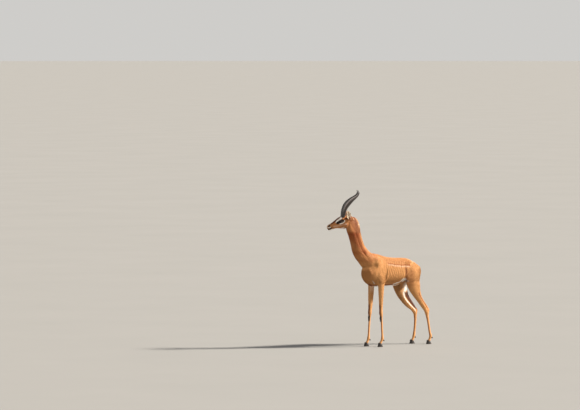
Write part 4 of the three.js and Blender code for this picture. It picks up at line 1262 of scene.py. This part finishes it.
def lockMaterial(name, root, tip):
    sheet = Sheet(name)
    streak = sheet.noise(300, 3, 0.6)
    colour = sheet.mix(linear(root), linear(tip), sheet.attribute("tone") * 0.7 + 0.3 * streak)
    return sheet.finish(colour, 0.42 + 0.2 * streak, sheet.bump(streak, 0.4, 0.0006))


def hornMaterial():
    sheet = Sheet("horn")
    ridge, tip = sheet.attribute("ridge"), sheet.attribute("share")
    grain = sheet.noise(55, 5, 0.65, (6, 6, 0.7))
    fine = sheet.noise(240, 4, 0.7, (4, 4, 0.5))
    pale = (0.55 * ridge * grain + 0.35 * (grain - 0.4) + 0.12 * fine).above(0.0, 0.6)
    colour = sheet.mix(linear((30, 26, 25)), linear((86, 78, 71)), pale)
    colour = sheet.mix(colour, linear((24, 21, 20)), tip.above(0.62, 0.95) * 0.8)
    # worn: partly the horn's paler worn front, partly a painted highlight of reflected light along it
    worn = sheet.attribute("worn") * (0.55 + 0.6 * grain)
    colour = sheet.mix(colour, linear((206, 190, 184)), worn * 0.75)
    roughness = 0.36 - 0.08 * tip + 0.2 * (fine - 0.5)
    return sheet.finish(colour, roughness, sheet.bump(0.7 * fine + 0.3 * grain, 0.6, 0.0012))


def hoofMaterial():
    sheet = Sheet("hoof")
    height = sheet.attribute("share")
    grain = sheet.noise(160, 4, 0.6, (1, 1, 0.25))
    rings = height.maths("SINE", height * 38 + 2.4 * grain)
    worn = height.above(0.3, 0.0) * grain
    pale = (0.15 * rings + 0.5 * worn + 0.5 * (grain - 0.4)).above(0, 0.7)
    colour = sheet.mix(linear((30, 26, 24)), linear((92, 80, 68)), pale)
    return sheet.finish(colour, 0.42 + 0.25 * grain, sheet.bump(0.5 * rings + grain, 0.5, 0.0007))


def eyeMaterial():
    sheet = Sheet("eye")
    _, across, up = sheet.parts("ShaderNodeSeparateXYZ", {"Vector": sheet.attribute("spot", 1)})
    away = (across * across + up * up).root()
    pupilAway = ((across * 0.62) ** 2 + (up * 1.5) ** 2).root()
    around = up.maths("ARCTAN2", up, across)
    turned = sheet.node("ShaderNodeCombineXYZ", inputs={0: around * 3, 1: away * 1.2})
    fibre = sheet.noise(9, 4, 0.7, where=turned)
    iris = sheet.mix(linear((58, 30, 16)), linear((112, 66, 34)), fibre)
    iris = sheet.mix(iris, linear((18, 11, 8)), away.above(0.46, 0.62))
    colour = sheet.mix(iris, linear((4, 4, 6)), pupilAway.above(0.33, 0.27))
    sclera = sheet.mix(linear((70, 50, 42)), linear((96, 70, 60)), sheet.noise(40, 3))
    colour = sheet.mix(colour, sclera, away.above(0.66, 0.72))
    return sheet.finish(colour, 0.12 + 0.05 * fibre, None, Coat_Weight=1.0, Coat_Roughness=0.03, Coat_IOR=1.4)


skinMaterial, hairCoat = coatSkinMaterial(), hairMaterial()
hornCoat, hoofCoat, eyeCoat = hornMaterial(), hoofMaterial(), eyeMaterial()
tailHair = lockMaterial("tailHair", (20, 16, 15), (52, 40, 34))
brushHair = lockMaterial("brushHair", (34, 24, 20), (78, 52, 38))
# pale ear fringe, brightened as painted glow of light through the ears
fringeHair = lockMaterial("fringeHair", (226, 206, 176), (252, 242, 224))
lashHair = lockMaterial("lashHair", (10, 8, 8), (26, 20, 18))

flesh = ["trunk", "neck", "head", "ear_left", "ear_right"]
flesh += [f"{leg[0]}leg_{leg[1]}_{part}" for leg in legs for part in ("upper", "lower")]
piece("skin", skinPoints, [skinTriangles], "coat", skinMaterial, flesh, marks=skinMarks)


# Horns, with rings that are strongest on the front

horn = {"rings": 17, "ringed": 0.66, "high": 1.5, "around": 48, "steps": 32,
        "wearAndGlintAt": 0.85, "wearAndGlintWide": 0.34}


def hornPiece(sideName, side):
    table = full(hornRows, "line")
    table[:, 1] *= side
    around = horn["around"]

    def raised(share, angle):
        turns = share / horn["ringed"] * horn["rings"]
        slant = 0.1 * np.cos(angle)[None] + 0.06 * np.sin(3 * angle + 1)[None]
        wave = -np.cos(2 * np.pi * (turns[:, None] + slant))
        crest = np.sign(wave) * np.abs(wave) ** 0.75
        fade = ramp(share, 0.03, 0.08) * ramp(share, horn["ringed"] + 0.03, horn["ringed"] - 0.08)
        front = 0.72 + 0.42 * np.cos(angle)[None]
        uneven = 1 + 0.18 * np.sin(turns * 2.1 + side)[:, None]
        return crest * horn["high"] * (1 - 0.5 * share[:, None]) * fade[:, None] * front * uneven

    points, faces = tube(table, [1, 0, 0], None, around, horn["steps"], 0, raised)
    count = (len(points) - 2) // around
    share = np.linspace(0, 1, count)
    lift = raised(share, 2 * np.pi * np.arange(around) / around).ravel()
    rings = points[:-2].reshape(count, around, 3)
    out = rings - rings.mean(axis=1, keepdims=True)
    turned = np.arctan2(out[..., 1] * side, out[..., 0]).ravel()
    # band along each horn's front: partly paler wear, partly painted highlight
    worn = hump(turned, horn["wearAndGlintAt"], horn["wearAndGlintWide"]) * np.repeat(ramp(share, 0.12, 0.45), around)
    piece(f"horn_{sideName}_sheath", points @ headTurn.T + hornRoot, faces, "horn", hornCoat,
          [f"horn_{sideName}"],
          ridge=np.concatenate([np.clip(0.5 + lift / 3, 0, 1), [0.5, 0.5]]),
          share=np.concatenate([np.repeat(share, around), [0, 1]]),
          worn=np.concatenate([worn, [0, 0]]))


# Eyes: a ball with a rounder cornea, in shares of the ball's radius

cornea = {"radius": 0.72, "reach": 0.34, "tip": 1.06, "around": 72}


def eyePiece(sideName, side):
    radius = eye["radius"]
    turn = np.linspace(0, math.pi, cornea["around"])
    ballX, ballR = np.cos(turn) * radius, np.sin(turn) * radius
    domeR = radius * cornea["radius"]
    dome = radius * cornea["reach"] + np.sqrt(np.clip(domeR**2 - ballR**2, 0, None))
    ballX = np.where((ballX > 0) & (ballR < domeR), np.maximum(ballX, dome), ballX)
    rows = [[-x, 0, 0, r, r, r, 2, 2, 0] for x, r in zip(ballX[1:-1], ballR[1:-1])]
    points, faces = tube(rows, [0, 0, 1], along=[1, 0, 0], around=cornea["around"], steps=1)
    points[:, 0] *= -1
    points[-2:] = [[radius * cornea["tip"], 0, 0], [-radius, 0, 0]]
    piece(f"eye_{sideName}_ball", onHead(points @ eyeAxes(side).T + eyeAt(side)), [f[:, ::-1] for f in faces],
          "eye", eyeCoat, [f"eye_{sideName}"], spot=points / radius)


for makePiece in (hornPiece, eyePiece):
    for sideName, side in sides.items():
        makePiece(sideName, side)


# Hooves and dewclaws

claw = {"inward": 0.045, "ring": 0.175, "rings": 2.1, "heelPower": 2.2}
dewclaw = {"size": [7, 5.5, 9.5], "narrow": 0.16, "tip": 0.5, "back": 19, "apart": 8.5, "level": 74, "at": 68}


def hoofPieces(pair, sideName, side, name):
    footX, footY = footAt(pair, side, name)
    for where, step in (("inner", -side), ("outer", side)):
        middleY = footY + foot["apart"] * step
        rows = [[footX + foot["lean"] * z, middleY, z, toe, heel, half, power, claw["heelPower"], 0]
                for z, toe, heel, half, power in clawRows[::-1]]
        points, faces = tube(rows, [1, 0, 0], [0, 0, -1], 56, 8)
        inward = points[:, 1] - middleY
        points[:, 1] -= step * claw["inward"] * np.clip(points[:, 0] - footX - 6, 0, 30)  # toes lean in
        x, y, z = points.T
        out = unit(np.stack([x - footX - foot["lean"] * z, inward, np.zeros(len(points))], 1))
        growth = claw["ring"] * np.sin(z * claw["rings"]) * ramp(z, 2, 5)
        share = np.clip(z / 40, 0, 1)
        piece(f"hoof_{pair}_{sideName}_{where}_horn", points + out * growth[:, None], faces, "hoof", hoofCoat,
              [f"hoof_{pair}_{sideName}_{where}"], share=share)
        points, faces = ball(20, 28)
        points = points * dewclaw["size"] * (1 - dewclaw["narrow"] * np.clip(-points[:, 2:3], 0, 1))
        share = points[:, 2] / dewclaw["size"][2] / 2 + 0.5
        x, y = float(legLine(name, dewclaw["level"])) - dewclaw["back"], footY + dewclaw["apart"] * step
        points = points @ rotation((0, dewclaw["tip"], 0)).T + [x, y, dewclaw["at"]]
        piece(f"dewclaw_{pair}_{sideName}_{where}_horn", points, faces, "hoof", hoofCoat,
              [f"dewclaw_{pair}_{sideName}_{where}"], share=share)


for leg in legs:
    hoofPieces(*leg)
print("horns, eyes and hooves made")


# Hair: closed strands of three sides that run to a point

def strands(roots, ways, outs, length, width, thick, curl, hold=0.75, stations=(0, 0.2, 0.45, 0.7, 0.88)):
    count = len(roots)
    length, width = np.broadcast_to(length, (count,)), np.broadcast_to(width, (count,))
    thick, curl = np.broadcast_to(thick, (count,)), np.broadcast_to(curl, (count,))
    across = unit(np.cross(ways, outs))
    rings = []
    for s in stations:
        middle = roots + ways * (length * s)[:, None] + outs * (length * curl * s * (1 - hold * s))[:, None]
        w = width * (0.62 + 1.2 * s if s < 0.32 else 1.32 * (1 - s) ** 0.7)
        rings += [middle - across * w[:, None] / 2 - outs * thick[:, None] * 0.3,
                  middle + across * w[:, None] / 2 - outs * thick[:, None] * 0.3,
                  middle + outs * thick[:, None] * (0.7 if s else 0.4)]
    tip = roots + ways * length[:, None] + outs * (length * curl * (1 - hold))[:, None]
    points = np.stack(rings + [tip], 1)
    size, last = points.shape[1], (len(stations) - 1) * 3
    faces = [[0, 2, 1]]
    for i in range(0, last, 3):
        for k in range(3):
            a, b = i + k, i + (k + 1) % 3
            faces += [[a, b, b + 3], [a, b + 3, a + 3]]
    faces += [[last + k, last + (k + 1) % 3, size - 1] for k in range(3)]
    faces = np.array(faces)
    a, b, c = ((points[0] - points[0, 0])[faces[:, k]] for k in range(3))
    if np.einsum("ij,ij->", a, np.cross(b, c)) < 0:  # inside out
        faces = faces[:, ::-1]
    triangles = (faces[None] + np.arange(count)[:, None, None] * size).reshape(-1, 3)
    share = np.concatenate([np.repeat(stations, 3), [1.0]])
    return points.reshape(-1, 3), triangles, share


def lockPiece(name, made, slotName, material):
    points, triangles, share = made
    count = len(points) // len(share)
    tone = np.tile(share, count) * 0.6 + np.repeat(rng.random(count), len(share)) * 0.4
    piece(name, points, [triangles], slotName, material, tone=tone)


def hanging(out, lean, low, high, uneven):
    # ways and outer sides of hairs that hang down and stand off a little
    count = len(out)
    ways = np.array([lean, 0, -1.0]) + out * rng.uniform(low, high, count)[:, None]
    ways = unit(ways + rng.normal(0, uneven, (count, 3)))
    return ways, square(out, ways)


tail = {"blades": 150, "from": 748, "to": 655, "short": 62, "long": 96}


def tailTuft():
    count = tail["blades"]
    angle = rng.uniform(0, 2 * np.pi, count)
    z = rng.uniform(tail["to"], tail["from"], count)
    out = np.stack([-np.cos(angle), np.sin(angle), np.zeros(count)], 1)
    x, y, reach = readRows(tailRows, 2, z, 0, 1, 5)
    roots = np.stack([x, y, z], 1) + out * (reach - 1.5)[:, None]
    ways, outs = hanging(out, 0, 0.02, 0.14, 0.05)
    length = rng.uniform(tail["short"], tail["long"], count)
    return strands(roots, ways, outs, length, rng.uniform(4, 7, count), 1.6, 0.12)


points, faces = tube(full(tailRows, "line"), [1, 0, 0], None, 28, 8, 1.0)
dockMarks = np.tile([0, 0, 0.5, 0], (len(points), 1))  # white, black, red, bare
dockMarks[:, 1] = ramp(points[:, 2], 800, 740)
piece("tail_dock", points, faces, "tail_hair", skinMaterial, ["tail"], marks=dockMarks)
lockPiece("tail_tuft", tailTuft(), "tail_hair", tailHair)

brush = {"count": 120, "high": 334, "low": 296, "short": 20, "long": 34, "round": 1.25}


def kneeBrush(sideName, side):
    count = brush["count"]
    angle = rng.uniform(-brush["round"], brush["round"], count)
    z = rng.uniform(brush["low"], brush["high"], count)
    out = np.stack([np.cos(angle), np.sin(angle) * side, np.zeros(count)], 1)
    front, half = readRows(legRows["fore"], 0, z, 1, 4)
    roots = np.stack([legLine("fore" + sideName.capitalize(), z), np.full(count, 71.0 * side), z], 1)
    roots += out * (np.stack([front, half, half], 1) - 2)
    ways, outs = hanging(out, 0.03, 0.0, 0.1, 0.06)
    length = rng.uniform(brush["short"], brush["long"], count)
    return strands(roots, ways, outs, length, rng.uniform(2.6, 4.4, count), 1.2, 0.14)


for sideName, side in sides.items():
    lockPiece(f"knee_brush_{sideName}", kneeBrush(sideName, side), "tail_hair", brushHair)

fringe = {"count": 420, "short": 12, "long": 26}


def earFringe(side):
    # pale hair from both edges of the cup, lying along the ear and in over it
    count = fringe["count"]
    share = rng.uniform(0.1, 0.8, count)
    k = rng.uniform(0.5, 0.93, count) * rng.choice([-1, 1], count)
    half, roll, wall = readRows(earRows, 0, share, 1, 2, 3)
    angle = np.radians(roll)
    radius = half / angle
    middle = earBend(share) + radius
    a = angle * k
    reach = radius - wall * 0.3
    roots = np.stack([middle - reach * np.cos(a), reach * np.sin(a) * side, share * ear["length"]], 1)
    inward = np.stack([np.cos(a), -np.sin(a) * side, np.zeros(count)], 1)
    ways = np.stack([np.zeros(count), -np.sign(k) * side * 0.35, np.ones(count)], 1) + inward * 0.25
    ways = unit(ways + rng.normal(0, 0.12, (count, 3)))
    outs = square(inward, ways)
    axes, root = earFrame(side)
    length = rng.uniform(fringe["short"], fringe["long"], count) * np.interp(share, [0.1, 0.8], [1.1, 0.6])
    width = rng.uniform(0.8, 1.4, count)
    return strands(roots @ axes.T + root, ways @ axes.T, outs @ axes.T, length, width, 0.4, 0.1)


lashes = {"count": 70, "short": 8, "long": 13}


def lashRow(side):
    # along the upper lid, thickest over its middle
    count = lashes["count"]
    outline = almond(0.6, 96)[:48]
    at = rng.uniform(0.1, 0.92, count) * 47
    across, up = np.interp(at, np.arange(48), outline[:, 0]), np.interp(at, np.arange(48), outline[:, 1])
    size = eye["radius"] + eye["lid"] - 0.8
    out = np.sqrt(np.clip(size**2 - across**2 - up**2, 1, None))
    spots = np.stack([out, across, up], 1)
    aside, upward = across * 0.03 + rng.normal(0, 0.1, count), rng.uniform(-0.1, 0.35, count)
    ways = unit(np.stack([np.ones(count), aside, upward], 1))
    zero = onHead(onEye(np.zeros((1, 3)), side))
    roots = onHead(onEye(spots, side))
    ways = unit(onHead(onEye(ways, side)) - zero)
    upward = unit(onHead(onEye(np.array([[0.0, 0.0, 1.0]]), side)) - zero)
    outs = square(upward, ways)
    return strands(roots, ways, outs, rng.uniform(lashes["short"], lashes["long"], count), 0.9, 0.5, 0.3)


for sideName, side in sides.items():
    lockPiece(f"ear_fringe_{sideName}", earFringe(side), "coat", fringeHair)
    lockPiece(f"lashes_{sideName}", lashRow(side), "tail_hair", lashHair)
print("locks made")


# The coat: short flat tufts over the skin, in pieces by region

fur = {  # tufts in the piece, length, width
    "head": (15000, 6.0, 1.3),
    "ears": (9000, 7.0, 1.2),
    "neck": (17000, 11.0, 2.1),
    "trunk_left_fore": (14000, 14.0, 2.4),
    "trunk_left_rear": (14000, 14.0, 2.4),
    "trunk_right_fore": (14000, 14.0, 2.4),
    "trunk_right_rear": (14000, 14.0, 2.4),
    "foreleg_left": (8500, 9.0, 1.7),
    "foreleg_right": (8500, 9.0, 1.7),
    "hindleg_left": (11500, 10.0, 2.0),
    "hindleg_right": (11500, 10.0, 2.0),
}
lift = {"curl": 0.2, "spread": 0.2, "hold": 0.55, "sink": 0.5, "thick": 0.28, "stations": (0, 0.45)}
bald = {"bare": 0.35, "eye": 1.0, "underFoot": 40}
bake = {"fill": 0.98, "margin": 0.004, "cell": 0.003}
collar = [[760, 300], [838, 130], [905, 60], [985, -4], [1100, -16]]  # height, where the neck starts
throat = {"at": [286, -14, 1300], "turn": -13.2, "tip": 24}


def lieOf(points, normals):
    # which way the hair lies at each place
    x, y, z = points.T
    side = np.sign(y)
    way = np.stack([np.full(len(x), -1.0), 0.1 * side, np.full(len(x), -0.42)], 1)
    steep = ramp(x, -470, -540)[:, None]
    way = way * (1 - steep) + np.array([-0.35, 0, -1.0]) * steep
    chest = ramp(x, 40, 110)[:, None] * ramp(z, 960, 900)[:, None]
    way = way * (1 - chest) + np.array([-0.25, 0, -1.0]) * chest
    leg = ramp(z, 800, 690)[:, None] * ramp(np.abs(y), 20, 45)[:, None]
    slope = np.zeros(len(x))
    for pair, _, s, name in legs:
        here = ((x > legsPart) == (pair == "fore")) & (side == s)
        slope[here] = (legLine(name, z[here] - 8) - legLine(name, z[here] + 8)) / 16
    down = np.stack([slope, np.zeros(len(x)), np.full(len(x), -1.0)], 1)
    way = way * (1 - leg) + down * leg
    belly = (ramp(normals[:, 2], -0.5, -0.85) * ramp(z, 640, 670))[:, None]
    way = way * (1 - belly) + np.array([-1.0, 0, 0]) * belly
    neckLine = np.array(neckRows, float)
    upward = np.interp(z, neckLine[:, 2], np.gradient(neckLine[:, 0], neckLine[:, 2]))
    descend = np.stack([-upward, np.zeros(len(x)), np.full(len(x), -1.0)], 1)
    onNeck = (ramp(x + 0.55 * (z - 950), 20, 110) * ramp(z, 880, 960))[:, None]
    way = way * (1 - onNeck) + unit(descend) * onNeck
    local = fromHead(points)
    onFace = (ramp(local[:, 0], -126, -80) * ramp(z, 1225, 1265))[:, None]
    backward = np.stack([np.full(len(x), -1.0), 0.25 * np.sign(local[:, 1]),
                         -0.22 * ramp(local[:, 2], 30, 0)], 1)
    way = way * (1 - onFace) + backward @ headAxes.T * onFace
    for s in sides.values():
        share, k, _, near = earPlace(points, s)
        axes, _ = earFrame(s)
        alongEar = axes[:, 2] + 0.25 * axes[:, 1] * (k * s)[:, None]
        way = np.where((near & (share > 0.05))[:, None], alongEar, way)
    return square(way, normals)


def regionsOf(points):
    x, y, z = points.T
    sideNames = np.where(y >= 0, "left", "right")
    onTrunk = x < np.interp(z, *np.array(collar).T)
    half = np.where(x > -210, "_fore", "_rear")
    region = np.where(onTrunk, np.char.add(np.char.add("trunk_", sideNames), half), "neck")
    leg = (z < np.where(x > legsPart, 690, 700)) & (np.abs(y) > 16)
    pair = np.where(x > legsPart, "foreleg_", "hindleg_")
    region = np.where(leg, np.char.add(pair, sideNames), region)
    normal = np.array(Matrix.Rotation(math.radians(throat["turn"]), 3, "Z")
                      @ Matrix.Rotation(math.radians(throat["tip"]), 3, "Y")) @ [0, 0, 1]
    region = np.where((points - throat["at"]) @ normal > 0, "head", region)
    for s in sides.values():
        share, _, _, near = earPlace(points, s)
        region = np.where(near & (share > 0.12), "ears", region)
    return region


def unrolled(region, points):
    # the skin laid out flat, in millimetres: along the form and round it
    x, y, z = points.T
    if region.startswith("trunk"):
        return x, np.arctan2(np.abs(y), z - 810) * 110
    if region == "neck":
        return np.arctan2(y, x - readRows(neckRows, 2, z, 0)[0]) * 60, z
    if region == "head":
        local = fromHead(points)
        return local[:, 0], np.arctan2(local[:, 1], local[:, 2] + 15) * 45
    if region == "ears":
        u, v = np.zeros(len(x)), np.zeros(len(x))
        for s in sides.values():
            share, k, off, near = earPlace(points, s)
            here = near & (share > 0.05)
            u[here] = (k[here] * 45 + np.where(off[here] > 0, 60, -60)) + 125 * s
            v[here] = share[here] * ear["length"]
        return u, v
    pair, sideName = region.split("leg_")
    middle = legLine(pair + sideName.capitalize(), z)
    return np.arctan2(y - 70 * sides[sideName], x - middle) * 30, z


def coatPieces():
    corners = skinPoints[skinTriangles]
    middles = corners.mean(1)
    flat = np.cross(corners[:, 1] - corners[:, 0], corners[:, 2] - corners[:, 0])
    area = np.linalg.norm(flat, axis=1) / 2
    marks = skinMarks[skinTriangles].mean(1)
    none = marks[:, 3] > bald["bare"]
    for s in sides.values():
        none |= np.linalg.norm(middles - onHead([eyeAt(s)])[0], axis=1) < eye["radius"] + bald["eye"]
    none |= (unit(flat)[:, 2] < -0.9) & (middles[:, 2] < bald["underFoot"])
    regions = regionsOf(middles)
    total = 0
    for region, (count, long, wide) in fur.items():
        some = np.where((regions == region) & ~none)[0]
        z = middles[some, 2]
        weight = area[some]
        if "leg" in region:
            weight = weight * np.interp(z, [60, 300, 700], [2.4, 1.8, 1.0])
        picked = rng.choice(some, count, p=weight / weight.sum())
        ends = skinTriangles[picked]
        a, b = rng.random(count), rng.random(count)
        a, b = np.where(a + b > 1, 1 - a, a), np.where(a + b > 1, 1 - b, b)
        shares = np.stack([1 - a - b, a, b], 1)
        roots = np.einsum("nk,nkd->nd", shares, corners[picked])
        normals = unit(np.einsum("nk,nkd->nd", shares, skinNormals[ends]))
        rootMarks = np.einsum("nk,nkd->nd", shares, skinMarks[ends])
        ways = lieOf(roots, normals)
        sway = rng.normal(0, lift["spread"], count)
        ways = unit(ways + np.cross(normals, ways) * sway[:, None])
        length = long * rng.uniform(0.7, 1.25, count)
        if "leg" in region:
            length = length * np.interp(roots[:, 2], [40, 120, 330, 600], [0.42, 0.5, 0.6, 1.1])
        if region == "head":
            forward = fromHead(roots)[:, 0]
            length = length * np.interp(forward, [-120, -60, 60, 170], [1.7, 1.25, 0.75, 0.42])
        width = wide * rng.uniform(0.75, 1.25, count) * np.clip(length / long, 0.6, 1.2)
        points, triangles, share = strands(roots - normals * lift["sink"], ways, normals, length, width,
                                           width * lift["thick"], lift["curl"], lift["hold"],
                                           lift["stations"])
        size = len(share)
        tone = np.tile(share, count) * 0.35 + np.repeat(rng.random(count), size) * 0.65
        made = piece(f"coat_{region}", points, [triangles], "coat", hairCoat,
                     marks=np.repeat(rootMarks, size, 0), tone=tone)
        u, v = unrolled(region, roots)
        span = max(np.ptp(u), np.ptp(v), 1) / bake["fill"]
        at = np.stack([(u - u.min()) / span, (v - v.min()) / span], 1) + bake["margin"]
        cell = [np.stack([[0, 1, 0.5], [s, s, s]], 1) for s in lift["stations"]]
        cell = np.concatenate(cell + [[[0.5, 1]]]) - 0.5
        uv = (at[:, None] + cell[None] * bake["cell"]).reshape(-1, 2)
        layer = made.data.uv_layers.new(name="OFBake")
        layer.data.foreach_set("uv", uv[triangles.ravel()].astype(np.float32).ravel())
        total += len(triangles)
    print("coat:", total, "triangles")


coatPieces()


# Floor and light

floorTone = {"colour": (136, 133, 129), "worn": (130, 128, 124), "radius": 400}


def discMesh(radius, around=96):
    angle = 2 * np.pi * np.arange(around) / around
    rings = [np.zeros((1, 3))]
    for r in (2, 8, 30, 100, radius):
        rings.append(np.stack([np.cos(angle) * r, np.sin(angle) * r, np.zeros(around)], 1))
    points = np.vstack(rings)
    k = np.arange(around)
    first = np.stack([np.zeros(around, int), 1 + k, 1 + (k + 1) % around], 1)
    quads = []
    for i in range(4):
        a, b = 1 + i * around + k, 1 + i * around + (k + 1) % around
        quads.append(np.stack([a, a + around, b + around, b], 1))
    return points, [first, np.vstack(quads)]


points, faces = discMesh(floorTone["radius"])
floor = meshObject("floor", points, faces, 1.0, (0, 0, -0.0005))
sheet = Sheet("floor")
floorNoise = sheet.noise(0.6, 3)
floor.data.materials.append(sheet.finish(
    sheet.mix(linear(floorTone["colour"]), linear(floorTone["worn"]), floorNoise), 0.75 + 0.1 * floorNoise))

view = {"azimuth": 148, "elevation": 3, "lens": 200, "sensor": 36, "width": 580, "pixel": 10.75,
        "aimUp": 1526, "aimAside": 914}
azimuth, elevation = math.radians(view["azimuth"]), math.radians(view["elevation"])
back = Vector((math.sin(azimuth) * math.cos(elevation), -math.cos(azimuth) * math.cos(elevation),
               math.sin(elevation)))
right = (-back).cross(Vector((0, 0, 1))).normalized()
aim = Vector(place) + Vector((0, 0, view["aimUp"] * mm)) - right * view["aimAside"] * mm
distance = view["width"] * view["pixel"] * mm * view["lens"] / view["sensor"]
cameraData = bpy.data.cameras.new("camera")
cameraData.lens, cameraData.sensor_width = view["lens"], view["sensor"]
cameraData.clip_end = 1000
camera = bpy.data.objects.new("camera", cameraData)
bpy.context.scene.collection.objects.link(camera)
camera.location = aim + back * distance
camera.rotation_euler = back.to_track_quat("Z", "Y").to_euler()
bpy.context.scene.camera = camera

lights = [  # name, to the camera's right, towards it, up, softness in degrees, strength, colour
    ["key", 0.80, -0.05, 0.60, 6, 10.3, (1.0, 0.95, 0.87)],
    ["fill", -0.5, 0.8, 0.45, 40, 0.4, (1.0, 0.98, 0.95)],
]
towards = Vector((back.x, back.y, 0)).normalized()
for name, aside, near, up, soft, power, colour in lights:
    data = bpy.data.lights.new(name, "SUN")
    data.angle, data.energy, data.color = math.radians(soft), power, colour
    lamp = bpy.data.objects.new(name, data)
    bpy.context.scene.collection.objects.link(lamp)
    direction = right * aside + towards * near + Vector((0, 0, up))
    lamp.location = direction * 10
    lamp.rotation_euler = direction.to_track_quat("Z", "Y").to_euler()

sky = {"low": (0.62, 0.61, 0.59, 1), "high": (0.34, 0.35, 0.37, 1), "reach": 0.7}
world = bpy.data.worlds.new("studio")
bpy.context.scene.world = world
sheet = Sheet("studio", world)
rise = sheet.parts("ShaderNodeSeparateXYZ", {"Vector": sheet.node("ShaderNodeTexCoord", out=0)})[2]
colour = sheet.mix(sky["low"], sky["high"], rise.above(0, sky["reach"]))
glow = sheet.node("ShaderNodeBackground", inputs={"Color": colour})
sheet.node("ShaderNodeOutputWorld", inputs={"Surface": glow})
bpy.context.scene.view_settings.view_transform = "Standard"

bpy.context.view_layer.update()
